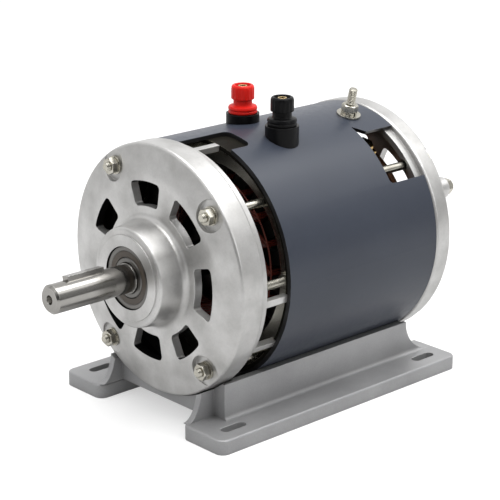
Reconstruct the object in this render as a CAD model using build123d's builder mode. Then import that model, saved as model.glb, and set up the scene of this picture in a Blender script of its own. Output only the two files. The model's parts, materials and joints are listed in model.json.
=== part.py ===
from build123d import *
import math
import os

# Demonstration direct-current motor with cut-away casing, in millimetres.
# Frame: +Z up, the shaft lies along Y with its drive end towards -Y, and the origin is
# on the mounting plane, midway between the four foot slots.
# Angles about the shaft are in degrees, from +X (right) through +Z (top).

os.makedirs("parts", exist_ok=True)

# ---------------------------------------------------------------- driving dimensions

# Shaft height and housing tube
shaft_height = 100.0
housing_radius = 83.3
housing_wall = 3.0
housing_front = -78.5
housing_length = 161.0

# End bells
bell_lip = 0.7
bell_plate = 6.0
bell_rim_wall = 8.0
bell_edge_radius = 2.0
crown_height = 4.0
crown_radius = 64.0
crown_blend = 30.0
front_rim_width = 18.0
rear_rim_width = 14.0
spigot_length = 6.0
hub_radius = 33.0
hub_root_radius = 35.5
hub_root_fillet = 4.0
hub_edge_radius = 1.5
hub_step_radius = 28.5
hub_step_height = 0.8
hub_wall = 6.0
front_hub_length = 24.0
rear_hub_length = 5.0
hub_shoulder = 4.0
hub_hole_radius = 16.0
hub_end_wall = 4.0

# Windows in both end bells, as angles
window_spans = (
    (-19.5, 16.0),
    (33.0, 65.5),
    (80.5, 109.0),
    (137.0, 164.0),
    (200.0, 237.0),
    (251.0, 280.0),
    (296.0, 323.0),
)
window_inner_radius = 43.5
window_outer_radius = 60.0
window_corner_radius = 3.0

# Cut-outs of the housing, as angles and as lengths from its ends
cutout_span = (-62.0, 88.0)
cutout_length = 23.5
notch_span = (71.0, 88.0)
notch_length = 41.0
notch_corner_radius = 5.0
hatch_span = (33.0, 62.0)
hatch_length = 33.0
hatch_corner_radius = 3.0
hatch_tail_angle = 67.0
hatch_tail_width = 8.0

# Fingers that reach back from the front bell's spigot to the pole liner
finger_angles = (81.0, -6.0, -32.0)
finger_width = 4.5

# Pole liner and magnets
liner_thickness = 2.8
liner_setback = 1.0
liner_rear = 46.0
magnet_thickness = 12.3
magnet_span = 80.0
magnet_angles = (-3.5, 176.5)
air_gap = 1.2
magnet_overhang = 2.0
clamp_ring_thickness = 3.0
clamp_ring_lip = 2.0

# Tie bolts with a nut at each end, and clamp studs a little further in
bolt_to_liner = 0.5
tie_bolt_angles = [42.0, 122.0, 232.5, 312.5]
stud_angles = (0.0, 180.0)
stud_to_liner = 3.5
bolt_radius = 3.0
bolt_hole_clearance = 0.3
hex_across_flats = 10.0
hex_head_height = 4.0
hex_nut_height = 5.0
washer_radius = 6.2
washer_thickness = 1.5
bolt_end_length = 2.5
stud_engagement = 10.0
lug_radius = 7.0
spot_face_radius = 10.5
spot_face_depth = 2.5
rod_notch_radius = 4.6

# Shaft
shaft_radius = 9.5
shaft_extension = 61.0
shaft_chamfer = 1.5
centre_hole_radius = 3.1
centre_drill_radius = 2.1
centre_hole_depth = 8.0
seat_radius = 10.0
body_radius = 12.0
shaft_end_gap = 1.2

# Key in the shaft extension
key_angle = 100.0
key_width = 6.0
key_height = 6.0
key_length = 28.0
key_seat_depth = 3.5
key_from_tip = 14.0

# Bearings 20 x 42 x 12
bearing_radius = 21.0
bearing_width = 12.0
bearing_recess = 1.0
bearing_edge = 0.6
race_thickness = 3.4
ball_radius = 3.175
ball_count = 9
ball_clearance = 0.05
seal_thickness = 1.0
seal_recess = 0.5
seal_gap = 0.3
cage_thickness = 1.0
cage_side = 0.9
spring_washer_height = 1.0
spring_washer_thickness = 0.5
spring_washer_bore = 17.6

# Armature
core_length = 80.0
slot_count = 18
slot_depth = 20.0
slot_opening = 3.0
slot_lip = 2.2
slot_shoulder = 1.0
slot_top_width = 9.4
slot_bottom_width = 5.4
slot_lining = 0.3
front_head_length = 19.0
rear_head_length = 13.0
head_drop = 6.5
head_inner_radius = 27.0
head_chamfer = 5.0
head_neck = 2.0
head_groove_width = 1.8
head_groove_depth = 5.0
wedge_gap = 0.05
wedge_overhang = 1.0

# Commutator
commutator_radius = 24.0
commutator_rear = 77.0
commutator_length = 19.0
bar_count = 36
bar_gap = 0.7
bar_height = 8.0
riser_radius = 28.0
riser_thickness = 2.5
riser_wire_radius = 40.0
riser_wire_thickness = 2.5
sleeve_overhang = 1.5

# Brush gear
brush_angles = (65.0, 245.0)
brush_y = 67.0
brush_width = 8.0
brush_axial = 12.0
brush_length = 24.0
brush_gap = 0.3
brush_fit = 0.05
holder_wall = 2.0
holder_bottom_radius = 29.0
holder_top_radius = 64.0
holder_foot_thickness = 3.0
holder_foot_width = 24.0
holder_foot_length = 18.0
holder_foot_radius = 44.0
holder_screw_radius = 1.5
holder_screw_head_radius = 2.7
holder_screw_head_height = 2.2
cap_head_height = 5.0
cap_head_across_flats = 11.0
cap_plug_length = 4.0
spring_wire = 0.9
spring_coil_radius = 2.9
spring_turns = 4

# Brush ring with three ears, bolted through the rear bell
brush_ring_thickness = 4.0
brush_ring_bore = 29.0
brush_ring_radius = 58.0
ear_count = 3
ear_start_angle = 25.0
ear_radius = 6.0
ear_clearance = 0.6
rear_boss_radius = 7.5
rear_boss_height = 8.0

# Binding posts for 4 mm plugs
post_middle_x = 8.2
post_spacing = 38.0
post_y = -10.4
collar_radius = 11.2
collar_height = 5.6
collar_spigot_radius = 5.0
post_flange_radius = 9.7
post_flange_top_radius = 9.0
post_flange_height = 5.2
post_neck_radius = 6.3
post_neck_height = 6.7
cap_radius = 7.8
cap_height = 7.2
cap_chamfer = 1.0
cap_mouth_radius = 3.6
flute_count = 16
flute_radius = 0.8
insert_wall = 1.2
insert_height = 5.5
thread_fit = 0.05
stem_radius = 3.0
stem_foot_radius = 2.5
stem_recess = 0.6
socket_radius = 2.0
socket_depth = 14.0
insulator_radius = 7.0
insulator_height = 1.2
tag_radius = 5.0
tag_thickness = 1.0
tag_reach = 12.0
tag_barrel_radius = 1.9
tag_barrel_length = 6.0
terminal_nut_across_flats = 8.0
terminal_nut_height = 4.0
stem_end_length = 1.0

# Internal leads, from the terminal tags to the side walls of the brush holders.
# Each route lists the points between its ends as angle, radius and y.
lead_radius = 1.25
lead_end_radius = 58.0
lead_end_y = 63.0
lead_approach = 22.0
lead_start = 19.0
positive_route = ((95.0, 72.0, 42.0),)
negative_route = (
    (63.5, 70.5, 44.0),
    (40.0, 66.0, 55.0),
    (14.0, 66.0, 54.0),
    (-12.0, 66.0, 54.5),
    (-38.0, 66.0, 54.0),
    (-64.0, 66.0, 57.0),
)

# Earth stud
earth_angle = 77.0
earth_y = 60.6
earth_stud_length = 19.5
earth_washer_radius = 8.3
earth_washer_thickness = 1.3
lock_washer_radius = 5.6
lock_washer_thickness = 1.7
lock_washer_split = 1.2

# Base casting
base_width = 162.5
base_length = 223.0
foot_thickness = 10.0
foot_inner_x = 42.0
foot_corner_radius = 6.0
foot_edge_radius = 1.5
slot_spacing_x = 136.0
slot_spacing_y = 180.0
foot_slot_length = 20.0
foot_slot_width = 7.0
web_outer_x = 46.5
wall_outer_x = 57.0
wall_front = -87.5
wall_top_below_shaft = 65.4
wall_fillet_radius = 3.0
front_sweep = 12.0
rear_sweep = 26.0
saddle_front = -92.0
saddle_thickness = 6.7
bell_relief = 1.0

# Bolts that hold the housing on the saddle, and the curved pads they screw into
saddle_bolt_ys = (-64.0, 64.0)
pad_length = 13.0
pad_span = 18.0
pad_thickness = 4.0
pad_bolt_end = 1.0

# Clearance between pieces that are put together
assembly_gap = 0.05

# ---------------------------------------------------------------- derived sizes

housing_rear = housing_front + housing_length
housing_bore = housing_radius - housing_wall
bell_radius = housing_radius + bell_lip
front_face = housing_front - front_rim_width
front_crown = front_face - crown_height
rear_face = housing_rear + rear_rim_width
front_plate_back = front_face + bell_plate
front_crown_back = front_crown + bell_plate
rear_plate_front = rear_face - bell_plate
front_hub_face = front_face - front_hub_length
rear_hub_face = rear_face + rear_hub_length
shaft_tip = front_hub_face - shaft_extension
spigot_radius = housing_bore - assembly_gap
front_spigot_end = housing_front + spigot_length
rear_spigot_end = housing_rear - spigot_length
rim_bore = bell_radius - bell_rim_wall

front_bearing_front = front_hub_face + bearing_recess
front_bearing_rear = front_bearing_front + bearing_width
rear_seat_end = rear_hub_face - hub_end_wall
rear_bearing_rear = rear_seat_end - spring_washer_height
rear_bearing_front = rear_bearing_rear - bearing_width
shaft_end = rear_bearing_rear - shaft_end_gap
pitch_radius = (bearing_radius + seat_radius) / 2

cutout_rear = housing_front + cutout_length
liner_front = cutout_rear + liner_setback
liner_bore = housing_bore - liner_thickness
core_radius = liner_bore - magnet_thickness - air_gap
clamp_ring_bore = core_radius + air_gap - clamp_ring_lip
head_outer_radius = core_radius - head_drop
core_front = -core_length / 2
core_rear = core_length / 2
magnet_front = core_front - magnet_overhang
magnet_rear = core_rear + magnet_overhang
clamp_ring_front = magnet_front - clamp_ring_thickness
commutator_front = commutator_rear - commutator_length
sleeve_radius = commutator_radius - bar_height

holder_foot_front = brush_y + brush_axial / 2 + holder_wall
brush_ring_front = holder_foot_front + holder_foot_thickness
brush_ring_rear = brush_ring_front + brush_ring_thickness
ear_angles = [ear_start_angle + index * 360 / ear_count for index in range(ear_count)]

bolt_circle_radius = liner_bore - bolt_radius - bolt_to_liner
stud_circle_radius = liner_bore - bolt_radius - stud_to_liner
bolt_hole_radius = bolt_radius + bolt_hole_clearance
front_seat = front_face
rear_seat = rear_face - spot_face_depth
ear_bolt_seat = rear_face + rear_boss_height

post_xs = (post_middle_x - post_spacing / 2, post_middle_x + post_spacing / 2)
post_height = post_flange_height + post_neck_height
web_front = foot_edge_radius - base_length / 2
web_rear = -web_front
wall_top = shaft_height - wall_top_below_shaft
saddle_underside = shaft_height - housing_radius - saddle_thickness

shaft_axis = Axis((0, 0, shaft_height), (0, 1, 0))
# Plane through the shaft: local x runs along Y, local y is the radius upwards.
along_shaft = Plane(origin=(0, 0, shaft_height), x_dir=(0, 1, 0), z_dir=(1, 0, 0))


def across(y):
    """Plane square to the shaft at y, as seen from the drive end; extrusions go forwards."""
    return Plane(origin=(0, y, shaft_height), x_dir=(1, 0, 0), z_dir=(0, -1, 0))


def facing(angle, radius, y=0.0):
    """Plane square to a radius of the shaft: local x along Y, local y towards larger angles."""
    turn = math.radians(angle)
    outward = (math.cos(turn), 0, math.sin(turn))
    centre = (radius * outward[0], y, shaft_height + radius * outward[2])
    return Plane(origin=centre, x_dir=(0, 1, 0), z_dir=outward)


def on_circle(radius, angles):
    """Locations on a circle about the shaft, in a plane square to it."""
    turns = [math.radians(angle) for angle in angles]
    return Locations(*[(radius * math.cos(turn), radius * math.sin(turn)) for turn in turns])


def ring_sector(inner, outer, start, end):
    """The part of a flat ring between two angles."""
    with BuildSketch(mode=Mode.PRIVATE) as sector:
        with BuildLine():
            outer_arc = CenterArc((0, 0), outer, start, end - start)
            inner_arc = CenterArc((0, 0), inner, start, end - start)
            Line(outer_arc @ 0, inner_arc @ 0)
            Line(outer_arc @ 1, inner_arc @ 1)
        make_face()
    return sector.sketch


def hexagon(across_flats):
    """A hexagon placed like a circle, by its width across flats."""
    return RegularPolygon(across_flats / 2, 6, major_radius=False)


def height_on(radius, x):
    """Height above the mounting plane of a cylinder about the shaft, at a distance x."""
    return shaft_height + math.sqrt(radius**2 - x**2)


def save(part, name):
    part.label = name
    export_step(part, f"parts/{name}.step")


# ---------------------------------------------------------------- base casting

with BuildPart() as base:
    # Two feet with rounded corners and edges
    foot_width = base_width / 2 - foot_inner_x
    foot_middle_x = foot_inner_x + foot_width / 2
    with BuildSketch():
        with Locations((foot_middle_x, 0)):
            RectangleRounded(foot_width, base_length, foot_corner_radius)
    extrude(amount=foot_thickness)
    fillet(base.faces().sort_by(Axis.Z)[-1].edges(), foot_edge_radius)
    # Thin web along the inner edge
    with BuildSketch(Plane.XY.offset(foot_thickness)):
        with Locations(((foot_inner_x + web_outer_x) / 2, 0)):
            Rectangle(web_outer_x - foot_inner_x, web_rear - web_front)
    extrude(amount=wall_top - foot_thickness)
    # Thick side wall outside the web, stepped at the front and filleted into the foot
    with BuildSketch(Plane.XZ.offset(-web_rear)):
        with Locations((wall_outer_x, foot_thickness / 2)):
            Rectangle(2 * (wall_outer_x - web_outer_x), foot_thickness)
        with Locations(((web_outer_x + wall_outer_x) / 2, wall_top / 2)):
            Rectangle(wall_outer_x - web_outer_x, wall_top)
        fillet(vertices().group_by(Axis.Y)[1].sort_by(Axis.X)[0], wall_fillet_radius)
    extrude(amount=web_rear - wall_front)
    # Both ends sweep down to the foot in a hollow curve
    with BuildSketch(Plane.YZ.offset(foot_inner_x)):
        with Locations((web_front, wall_top)):
            Ellipse(front_sweep, wall_top - foot_thickness)
        with Locations((web_rear, wall_top)):
            Ellipse(rear_sweep, wall_top - foot_thickness)
    extrude(amount=foot_width, mode=Mode.SUBTRACT)
    mirror(about=Plane.YZ)
    # Saddle plate between the webs
    saddle_rear = web_rear - rear_sweep
    with BuildSketch(Plane.XY.offset(saddle_underside)):
        with Locations((0, (saddle_front + saddle_rear) / 2)):
            Rectangle(2 * web_outer_x, saddle_rear - saddle_front)
    extrude(amount=wall_top - saddle_underside)
    # The seat follows the housing, with relief round both bells
    with BuildSketch(across(web_rear)):
        Circle(housing_radius)
    extrude(amount=web_rear - web_front, mode=Mode.SUBTRACT)
    for relief_front, relief_rear in ((web_front, housing_front), (housing_rear, web_rear)):
        with BuildSketch(across(relief_rear + bell_relief)):
            Circle(bell_radius + bell_relief)
        extrude(amount=relief_rear - relief_front + 2 * bell_relief, mode=Mode.SUBTRACT)
    # Foot slots and bolt holes through the saddle
    with BuildSketch():
        with GridLocations(slot_spacing_x, slot_spacing_y, 2, 2):
            SlotOverall(foot_slot_length, foot_slot_width, rotation=90)
        with Locations(*[(0, y) for y in saddle_bolt_ys]):
            Circle(bolt_hole_radius)
    extrude(amount=shaft_height - housing_bore, mode=Mode.SUBTRACT)
save(base.part, "base")

# ---------------------------------------------------------------- housing

with BuildPart() as housing:
    with BuildSketch(across(housing_rear)):
        Circle(housing_radius)
        Circle(housing_bore, mode=Mode.SUBTRACT)
    extrude(amount=housing_length)
    # Front cut-out round the right side, from the top down to the saddle
    with BuildSketch(across(cutout_rear)):
        add(ring_sector(liner_bore, bell_radius, *cutout_span))
    extrude(amount=cutout_length, mode=Mode.SUBTRACT)
    # Notch behind the upper end of the cut-out
    notch_width = math.radians(notch_span[1] - notch_span[0]) * housing_radius
    with BuildSketch(facing(sum(notch_span) / 2, housing_radius)):
        with Locations((housing_front, 0)):
            Rectangle(2 * notch_length, notch_width)
        fillet(vertices().group_by(Axis.X)[-1], notch_corner_radius)
    extrude(amount=notch_width, both=True, mode=Mode.SUBTRACT)
    # Brush hatches opposite each other, open at the rear, each with a tail at one corner
    hatch_middle = sum(hatch_span) / 2
    hatch_width = math.radians(hatch_span[1] - hatch_span[0]) * housing_radius
    hatch_tail = math.radians(hatch_tail_angle - hatch_middle) * housing_radius
    hatch_front = housing_rear - hatch_length
    for hatch_angle in (hatch_middle, hatch_middle + 180):
        with BuildSketch(facing(hatch_angle, housing_radius)):
            with Locations((housing_rear, 0)):
                Rectangle(2 * hatch_length, hatch_width)
            fillet(vertices().group_by(Axis.X)[0], hatch_corner_radius)
            with BuildLine():
                Polyline(
                    (hatch_front, hatch_width / 2 - hatch_tail_width),
                    (hatch_front + hatch_tail_width, hatch_width / 2),
                    (hatch_front, hatch_tail),
                    close=True,
                )
            make_face()
        extrude(amount=hatch_width / 2, both=True, mode=Mode.SUBTRACT)
    # Holes for the binding posts, the earth stud and the saddle bolts
    with BuildSketch(Plane.XY.offset(shaft_height)):
        with Locations(*[(x, post_y) for x in post_xs]):
            Circle(collar_spigot_radius)
    extrude(amount=housing_radius, mode=Mode.SUBTRACT)
    with BuildSketch(facing(earth_angle, 0, earth_y)):
        Circle(bolt_radius)
    extrude(amount=housing_radius, mode=Mode.SUBTRACT)
    with BuildSketch():
        with Locations(*[(0, y) for y in saddle_bolt_ys]):
            Circle(bolt_hole_radius)
    extrude(amount=shaft_height, mode=Mode.SUBTRACT)
save(housing.part, "housing")

# ---------------------------------------------------------------- end bells


def bell_windows():
    """The ring of rounded windows that both bells share."""
    with BuildSketch(mode=Mode.PRIVATE) as windows:
        for span in window_spans:
            add(ring_sector(window_inner_radius, window_outer_radius, *span))
        fillet(windows.vertices(), window_corner_radius)
    return windows.sketch


def circle_edges(part, radius):
    """Edges of one radius, for the fillets of a turned casting."""
    rings = part.edges().filter_by(GeomType.CIRCLE)
    return rings.filter_by(lambda ring: abs(ring.radius - radius) < assembly_gap)


with BuildPart() as front_bell:
    hub_floor = front_bearing_rear + hub_shoulder
    with BuildSketch(along_shaft):
        with BuildLine():
            Polyline(
                (front_hub_face, bearing_radius),
                (front_hub_face, hub_step_radius),
                (front_hub_face + hub_step_height, hub_step_radius),
                (front_hub_face + hub_step_height, hub_radius),
                (front_crown, hub_root_radius),
                (front_crown, crown_radius),
                (front_face, bell_radius),
                (housing_front, bell_radius),
                (housing_front, spigot_radius),
                (front_spigot_end, spigot_radius),
                (front_spigot_end, rim_bore),
                (front_plate_back, rim_bore),
                (front_crown_back, crown_radius),
                (front_crown_back, hub_radius - hub_wall),
                (hub_floor, hub_radius - hub_wall),
                (hub_floor, hub_hole_radius),
                (front_bearing_rear, hub_hole_radius),
                (front_bearing_rear, bearing_radius),
                close=True,
            )
        make_face()
    revolve(axis=shaft_axis)
    fillet(circle_edges(front_bell, bell_radius), bell_edge_radius)
    fillet(circle_edges(front_bell, hub_root_radius), hub_root_fillet)
    fillet(circle_edges(front_bell, crown_radius), crown_blend)
    fillet(circle_edges(front_bell, hub_radius), hub_edge_radius)
    with BuildSketch(across(front_plate_back)):
        add(bell_windows())
    extrude(amount=front_plate_back - front_hub_face, mode=Mode.SUBTRACT)
    # Lugs behind the plate for the tie bolts and clamp studs
    with BuildSketch(across(housing_front)):
        with on_circle(bolt_circle_radius, tie_bolt_angles):
            Circle(lug_radius)
        with on_circle(stud_circle_radius, stud_angles):
            Circle(lug_radius)
    extrude(amount=housing_front - front_crown_back)
    # Fingers from the spigot back to the pole liner, across the cut-out
    finger_half = math.degrees(finger_width / 2 / spigot_radius)
    with BuildSketch(across(liner_front)):
        for angle in finger_angles:
            add(ring_sector(rim_bore, spigot_radius, angle - finger_half, angle + finger_half))
    extrude(amount=liner_front - front_spigot_end)
    # Spot faces level with the rim, holes for the tie bolts and the studs, spigot notches
    with BuildSketch(across(front_seat)):
        with on_circle(bolt_circle_radius, tie_bolt_angles):
            Circle(spot_face_radius)
    extrude(amount=front_hub_length, mode=Mode.SUBTRACT)
    with BuildSketch(across(housing_front)):
        with on_circle(bolt_circle_radius, tie_bolt_angles):
            Circle(bolt_hole_radius)
    extrude(amount=front_rim_width, mode=Mode.SUBTRACT)
    with BuildSketch(across(housing_front)):
        with on_circle(stud_circle_radius, stud_angles):
            Circle(bolt_radius)
    extrude(amount=stud_engagement, mode=Mode.SUBTRACT)
    with BuildSketch(across(front_spigot_end)):
        with on_circle(bolt_circle_radius, tie_bolt_angles):
            Circle(rod_notch_radius)
    extrude(amount=spigot_length, mode=Mode.SUBTRACT)
save(front_bell.part, "front_bell")

with BuildPart() as rear_bell:
    sleeve_mouth = rear_bearing_front - bearing_recess
    with BuildSketch(along_shaft):
        with BuildLine():
            Polyline(
                (rear_hub_face, 0),
                (rear_hub_face, hub_radius),
                (rear_face, hub_root_radius),
                (rear_face, bell_radius),
                (housing_rear, bell_radius),
                (housing_rear, spigot_radius),
                (rear_spigot_end, spigot_radius),
                (rear_spigot_end, rim_bore),
                (rear_plate_front, rim_bore),
                (rear_plate_front, bearing_radius + hub_wall),
                (sleeve_mouth, bearing_radius + hub_wall),
                (sleeve_mouth, bearing_radius),
                (rear_seat_end, bearing_radius),
                (rear_seat_end, 0),
                close=True,
            )
        make_face()
    revolve(axis=shaft_axis)
    fillet(circle_edges(rear_bell, bell_radius), bell_edge_radius)
    fillet(circle_edges(rear_bell, hub_radius), hub_edge_radius)
    with BuildSketch(across(rear_face)):
        add(bell_windows())
    extrude(amount=bell_plate, mode=Mode.SUBTRACT)
    # Inner lugs for the tie bolts, longer ones that carry the brush ring, and outer bosses
    with BuildSketch(across(rear_plate_front)):
        with on_circle(bolt_circle_radius, tie_bolt_angles):
            Circle(lug_radius)
    extrude(amount=rear_plate_front - housing_rear)
    with BuildSketch(across(rear_plate_front)):
        with on_circle(bolt_circle_radius, ear_angles):
            Circle(ear_radius)
    extrude(amount=rear_plate_front - brush_ring_rear)
    with BuildSketch(across(ear_bolt_seat)):
        with on_circle(bolt_circle_radius, ear_angles):
            Circle(rear_boss_radius)
    extrude(amount=rear_boss_height)
    with BuildSketch(across(rear_seat + spot_face_depth)):
        with on_circle(bolt_circle_radius, tie_bolt_angles):
            Circle(spot_face_radius)
    extrude(amount=spot_face_depth, mode=Mode.SUBTRACT)
    with BuildSketch(across(ear_bolt_seat)):
        with on_circle(bolt_circle_radius, tie_bolt_angles + ear_angles):
            Circle(bolt_hole_radius)
    extrude(amount=ear_bolt_seat - brush_ring_rear, mode=Mode.SUBTRACT)
    # Notches that let the tie bolts and the ears of the brush ring past the spigot
    with BuildSketch(across(housing_rear)):
        with on_circle(bolt_circle_radius, tie_bolt_angles):
            Circle(rod_notch_radius)
    extrude(amount=spigot_length, mode=Mode.SUBTRACT)
    with BuildSketch(across(brush_ring_rear)):
        with on_circle(bolt_circle_radius, ear_angles):
            Circle(ear_radius + ear_clearance)
    extrude(amount=brush_ring_rear - rear_spigot_end, mode=Mode.SUBTRACT)
save(rear_bell.part, "rear_bell")

# ---------------------------------------------------------------- pole liner, magnets and their clamp

with BuildPart() as pole_liner:
    with BuildSketch(across(liner_rear)):
        Circle(housing_bore)
        Circle(liner_bore, mode=Mode.SUBTRACT)
    extrude(amount=liner_rear - liner_front)
    with BuildSketch(Plane.XY.offset(shaft_height)):
        with Locations(*[(x, post_y) for x in post_xs]):
            Circle(collar_spigot_radius)
    extrude(amount=housing_radius, mode=Mode.SUBTRACT)
save(pole_liner.part, "pole_liner")

for magnet_name, magnet_angle in zip(("right_magnet", "left_magnet"), magnet_angles):
    with BuildPart() as magnet:
        with BuildSketch(across(magnet_rear)):
            half = magnet_span / 2
            add(ring_sector(core_radius + air_gap, liner_bore, magnet_angle - half, magnet_angle + half))
        extrude(amount=magnet_rear - magnet_front)
    save(magnet.part, magnet_name)

with BuildPart() as clamp_ring:
    with BuildSketch(across(magnet_front)):
        Circle(liner_bore - assembly_gap)
        Circle(clamp_ring_bore, mode=Mode.SUBTRACT)
        with on_circle(bolt_circle_radius, tie_bolt_angles):
            Circle(rod_notch_radius, mode=Mode.SUBTRACT)
        with on_circle(stud_circle_radius, stud_angles):
            Circle(bolt_radius, mode=Mode.SUBTRACT)
    extrude(amount=clamp_ring_thickness)
save(clamp_ring.part, "clamp_ring")

# ---------------------------------------------------------------- tie bolts, studs, washers and nuts

with BuildPart() as tie_bolts:
    bolt_reach = washer_thickness + hex_nut_height + bolt_end_length
    with BuildSketch(across(rear_seat + bolt_reach)):
        with on_circle(bolt_circle_radius, tie_bolt_angles):
            Circle(bolt_radius)
    extrude(amount=rear_seat - front_seat + 2 * bolt_reach)
save(tie_bolts.part, "tie_bolts")

with BuildPart() as clamp_studs:
    with BuildSketch(across(magnet_front)):
        with on_circle(stud_circle_radius, stud_angles):
            Circle(bolt_radius)
    extrude(amount=magnet_front - housing_front + stud_engagement)
save(clamp_studs.part, "clamp_studs")

with BuildPart() as ring_bolts:
    ring_bolt_end = ear_bolt_seat + washer_thickness + hex_nut_height + bolt_end_length
    with BuildSketch(across(ring_bolt_end)):
        with on_circle(bolt_circle_radius, ear_angles):
            Circle(bolt_radius)
    extrude(amount=ring_bolt_end - brush_ring_front)
    with BuildSketch(across(brush_ring_front)):
        with on_circle(bolt_circle_radius, ear_angles):
            hexagon(hex_across_flats)
    extrude(amount=hex_head_height)
save(ring_bolts.part, "ring_bolts")

with BuildPart() as saddle_bolts:
    saddle_washer_face = saddle_underside - washer_thickness
    pad_top = shaft_height - housing_bore + pad_thickness
    with BuildSketch(Plane.XY.offset(saddle_washer_face)):
        with Locations(*[(0, y) for y in saddle_bolt_ys]):
            Circle(bolt_radius)
    extrude(amount=pad_top + pad_bolt_end - saddle_washer_face)
    with BuildSketch(Plane.XY.offset(saddle_washer_face - hex_head_height)):
        with Locations(*[(0, y) for y in saddle_bolt_ys]):
            hexagon(hex_across_flats)
    extrude(amount=hex_head_height)
save(saddle_bolts.part, "saddle_bolts")

with BuildPart() as saddle_pads:
    for pad_y in saddle_bolt_ys:
        with BuildSketch(across(pad_y + pad_length / 2)):
            add(ring_sector(housing_bore - pad_thickness, housing_bore, -90 - pad_span / 2, -90 + pad_span / 2))
        extrude(amount=pad_length)
    with BuildSketch():
        with Locations(*[(0, y) for y in saddle_bolt_ys]):
            Circle(bolt_radius)
    extrude(amount=shaft_height, mode=Mode.SUBTRACT)
save(saddle_pads.part, "saddle_pads")

with BuildPart() as bolt_washers:
    washer_places = (
        (front_seat, tie_bolt_angles),
        (rear_seat + washer_thickness, tie_bolt_angles),
        (ear_bolt_seat + washer_thickness, ear_angles),
    )
    for washer_rear, angles in washer_places:
        with BuildSketch(across(washer_rear)):
            with on_circle(bolt_circle_radius, angles):
                Circle(washer_radius)
                Circle(bolt_radius, mode=Mode.SUBTRACT)
        extrude(amount=washer_thickness)
    with BuildSketch(Plane.XY.offset(saddle_washer_face)):
        with Locations(*[(0, y) for y in saddle_bolt_ys]):
            Circle(washer_radius)
            Circle(bolt_radius, mode=Mode.SUBTRACT)
    extrude(amount=washer_thickness)
save(bolt_washers.part, "bolt_washers")

with BuildPart() as hex_nuts:
    nut_places = (
        (front_seat - washer_thickness, bolt_circle_radius, tie_bolt_angles),
        (rear_seat + washer_thickness + hex_nut_height, bolt_circle_radius, tie_bolt_angles),
        (ear_bolt_seat + washer_thickness + hex_nut_height, bolt_circle_radius, ear_angles),
        (clamp_ring_front, stud_circle_radius, stud_angles),
    )
    for nut_rear, circle_radius, angles in nut_places:
        with BuildSketch(across(nut_rear)):
            with on_circle(circle_radius, angles):
                hexagon(hex_across_flats)
                Circle(bolt_radius, mode=Mode.SUBTRACT)
        extrude(amount=hex_nut_height)
save(hex_nuts.part, "hex_nuts")

# ---------------------------------------------------------------- shaft and key

with BuildPart() as shaft:
    with BuildSketch(along_shaft):
        with BuildLine():
            Polyline(
                (shaft_tip, 0),
                (shaft_tip, shaft_radius - shaft_chamfer),
                (shaft_tip + shaft_chamfer, shaft_radius),
                (front_hub_face, shaft_radius),
                (front_hub_face, seat_radius),
                (front_bearing_rear, seat_radius),
                (front_bearing_rear, body_radius),
                (rear_bearing_front, body_radius),
                (rear_bearing_front, seat_radius),
                (shaft_end - shaft_chamfer, seat_radius),
                (shaft_end, seat_radius - shaft_chamfer),
                (shaft_end, 0),
                close=True,
            )
        make_face()
    revolve(axis=shaft_axis)
    # Centre hole in the drive end
    with BuildSketch(along_shaft):
        with BuildLine():
            Polyline(
                (shaft_tip, 0),
                (shaft_tip, centre_hole_radius),
                (shaft_tip + centre_hole_radius, centre_drill_radius),
                (shaft_tip + centre_hole_depth, centre_drill_radius),
                (shaft_tip + centre_hole_depth, 0),
                close=True,
            )
        make_face()
    revolve(axis=shaft_axis, mode=Mode.SUBTRACT)
    # Key seat
    key_y = shaft_tip + key_from_tip + key_length / 2
    with BuildSketch(facing(key_angle, shaft_radius - key_seat_depth, key_y)):
        Rectangle(key_length, key_width)
    extrude(amount=shaft_radius, mode=Mode.SUBTRACT)
save(shaft.part, "shaft")

with BuildPart() as shaft_key:
    with BuildSketch(facing(key_angle, shaft_radius - key_seat_depth, key_y)):
        Rectangle(key_length, key_width)
    extrude(amount=key_height)
save(shaft_key.part, "shaft_key")

# ---------------------------------------------------------------- bearings


def build_bearing(end_name, front_y):
    """Sealed ball bearing: two rings, a caged set of balls and two seals."""
    middle_y = front_y + bearing_width / 2
    rear_y = front_y + bearing_width
    race_radii = {
        "outer_ring": (bearing_radius - race_thickness, bearing_radius),
        "inner_ring": (seat_radius, seat_radius + race_thickness),
    }
    for ring_name, (inner, outer) in race_radii.items():
        with BuildPart() as ring:
            with BuildSketch(along_shaft) as ring_section:
                with Locations((middle_y, (inner + outer) / 2)):
                    Rectangle(bearing_width, outer - inner)
                chamfer(ring_section.vertices(), bearing_edge)
                with Locations((middle_y, pitch_radius)):
                    Circle(ball_radius + ball_clearance, mode=Mode.SUBTRACT)
            revolve(axis=shaft_axis)
        save(ring.part, f"{end_name}_bearing_{ring_name}")

    with BuildPart() as balls:
        with Locations(across(middle_y)):
            with PolarLocations(pitch_radius, ball_count):
                Sphere(ball_radius)
    save(balls.part, f"{end_name}_bearing_balls")

    with BuildPart() as cage:
        with BuildSketch(along_shaft):
            with Locations((middle_y, pitch_radius)):
                Rectangle(2 * (ball_radius + cage_side), cage_thickness)
        revolve(axis=shaft_axis)
        for index in range(ball_count):
            with BuildSketch(facing(index * 360 / ball_count, seat_radius, middle_y)):
                Circle(ball_radius + ball_clearance)
            extrude(amount=bearing_radius - seat_radius, mode=Mode.SUBTRACT)
    save(cage.part, f"{end_name}_bearing_cage")

    with BuildPart() as seals:
        for seal_rear in (front_y + seal_recess + seal_thickness, rear_y - seal_recess):
            with BuildSketch(across(seal_rear)):
                Circle(bearing_radius - race_thickness)
                Circle(seat_radius + race_thickness + seal_gap, mode=Mode.SUBTRACT)
            extrude(amount=seal_thickness)
    save(seals.part, f"{end_name}_bearing_seals")


build_bearing("front", front_bearing_front)
build_bearing("rear", rear_bearing_front)

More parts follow.
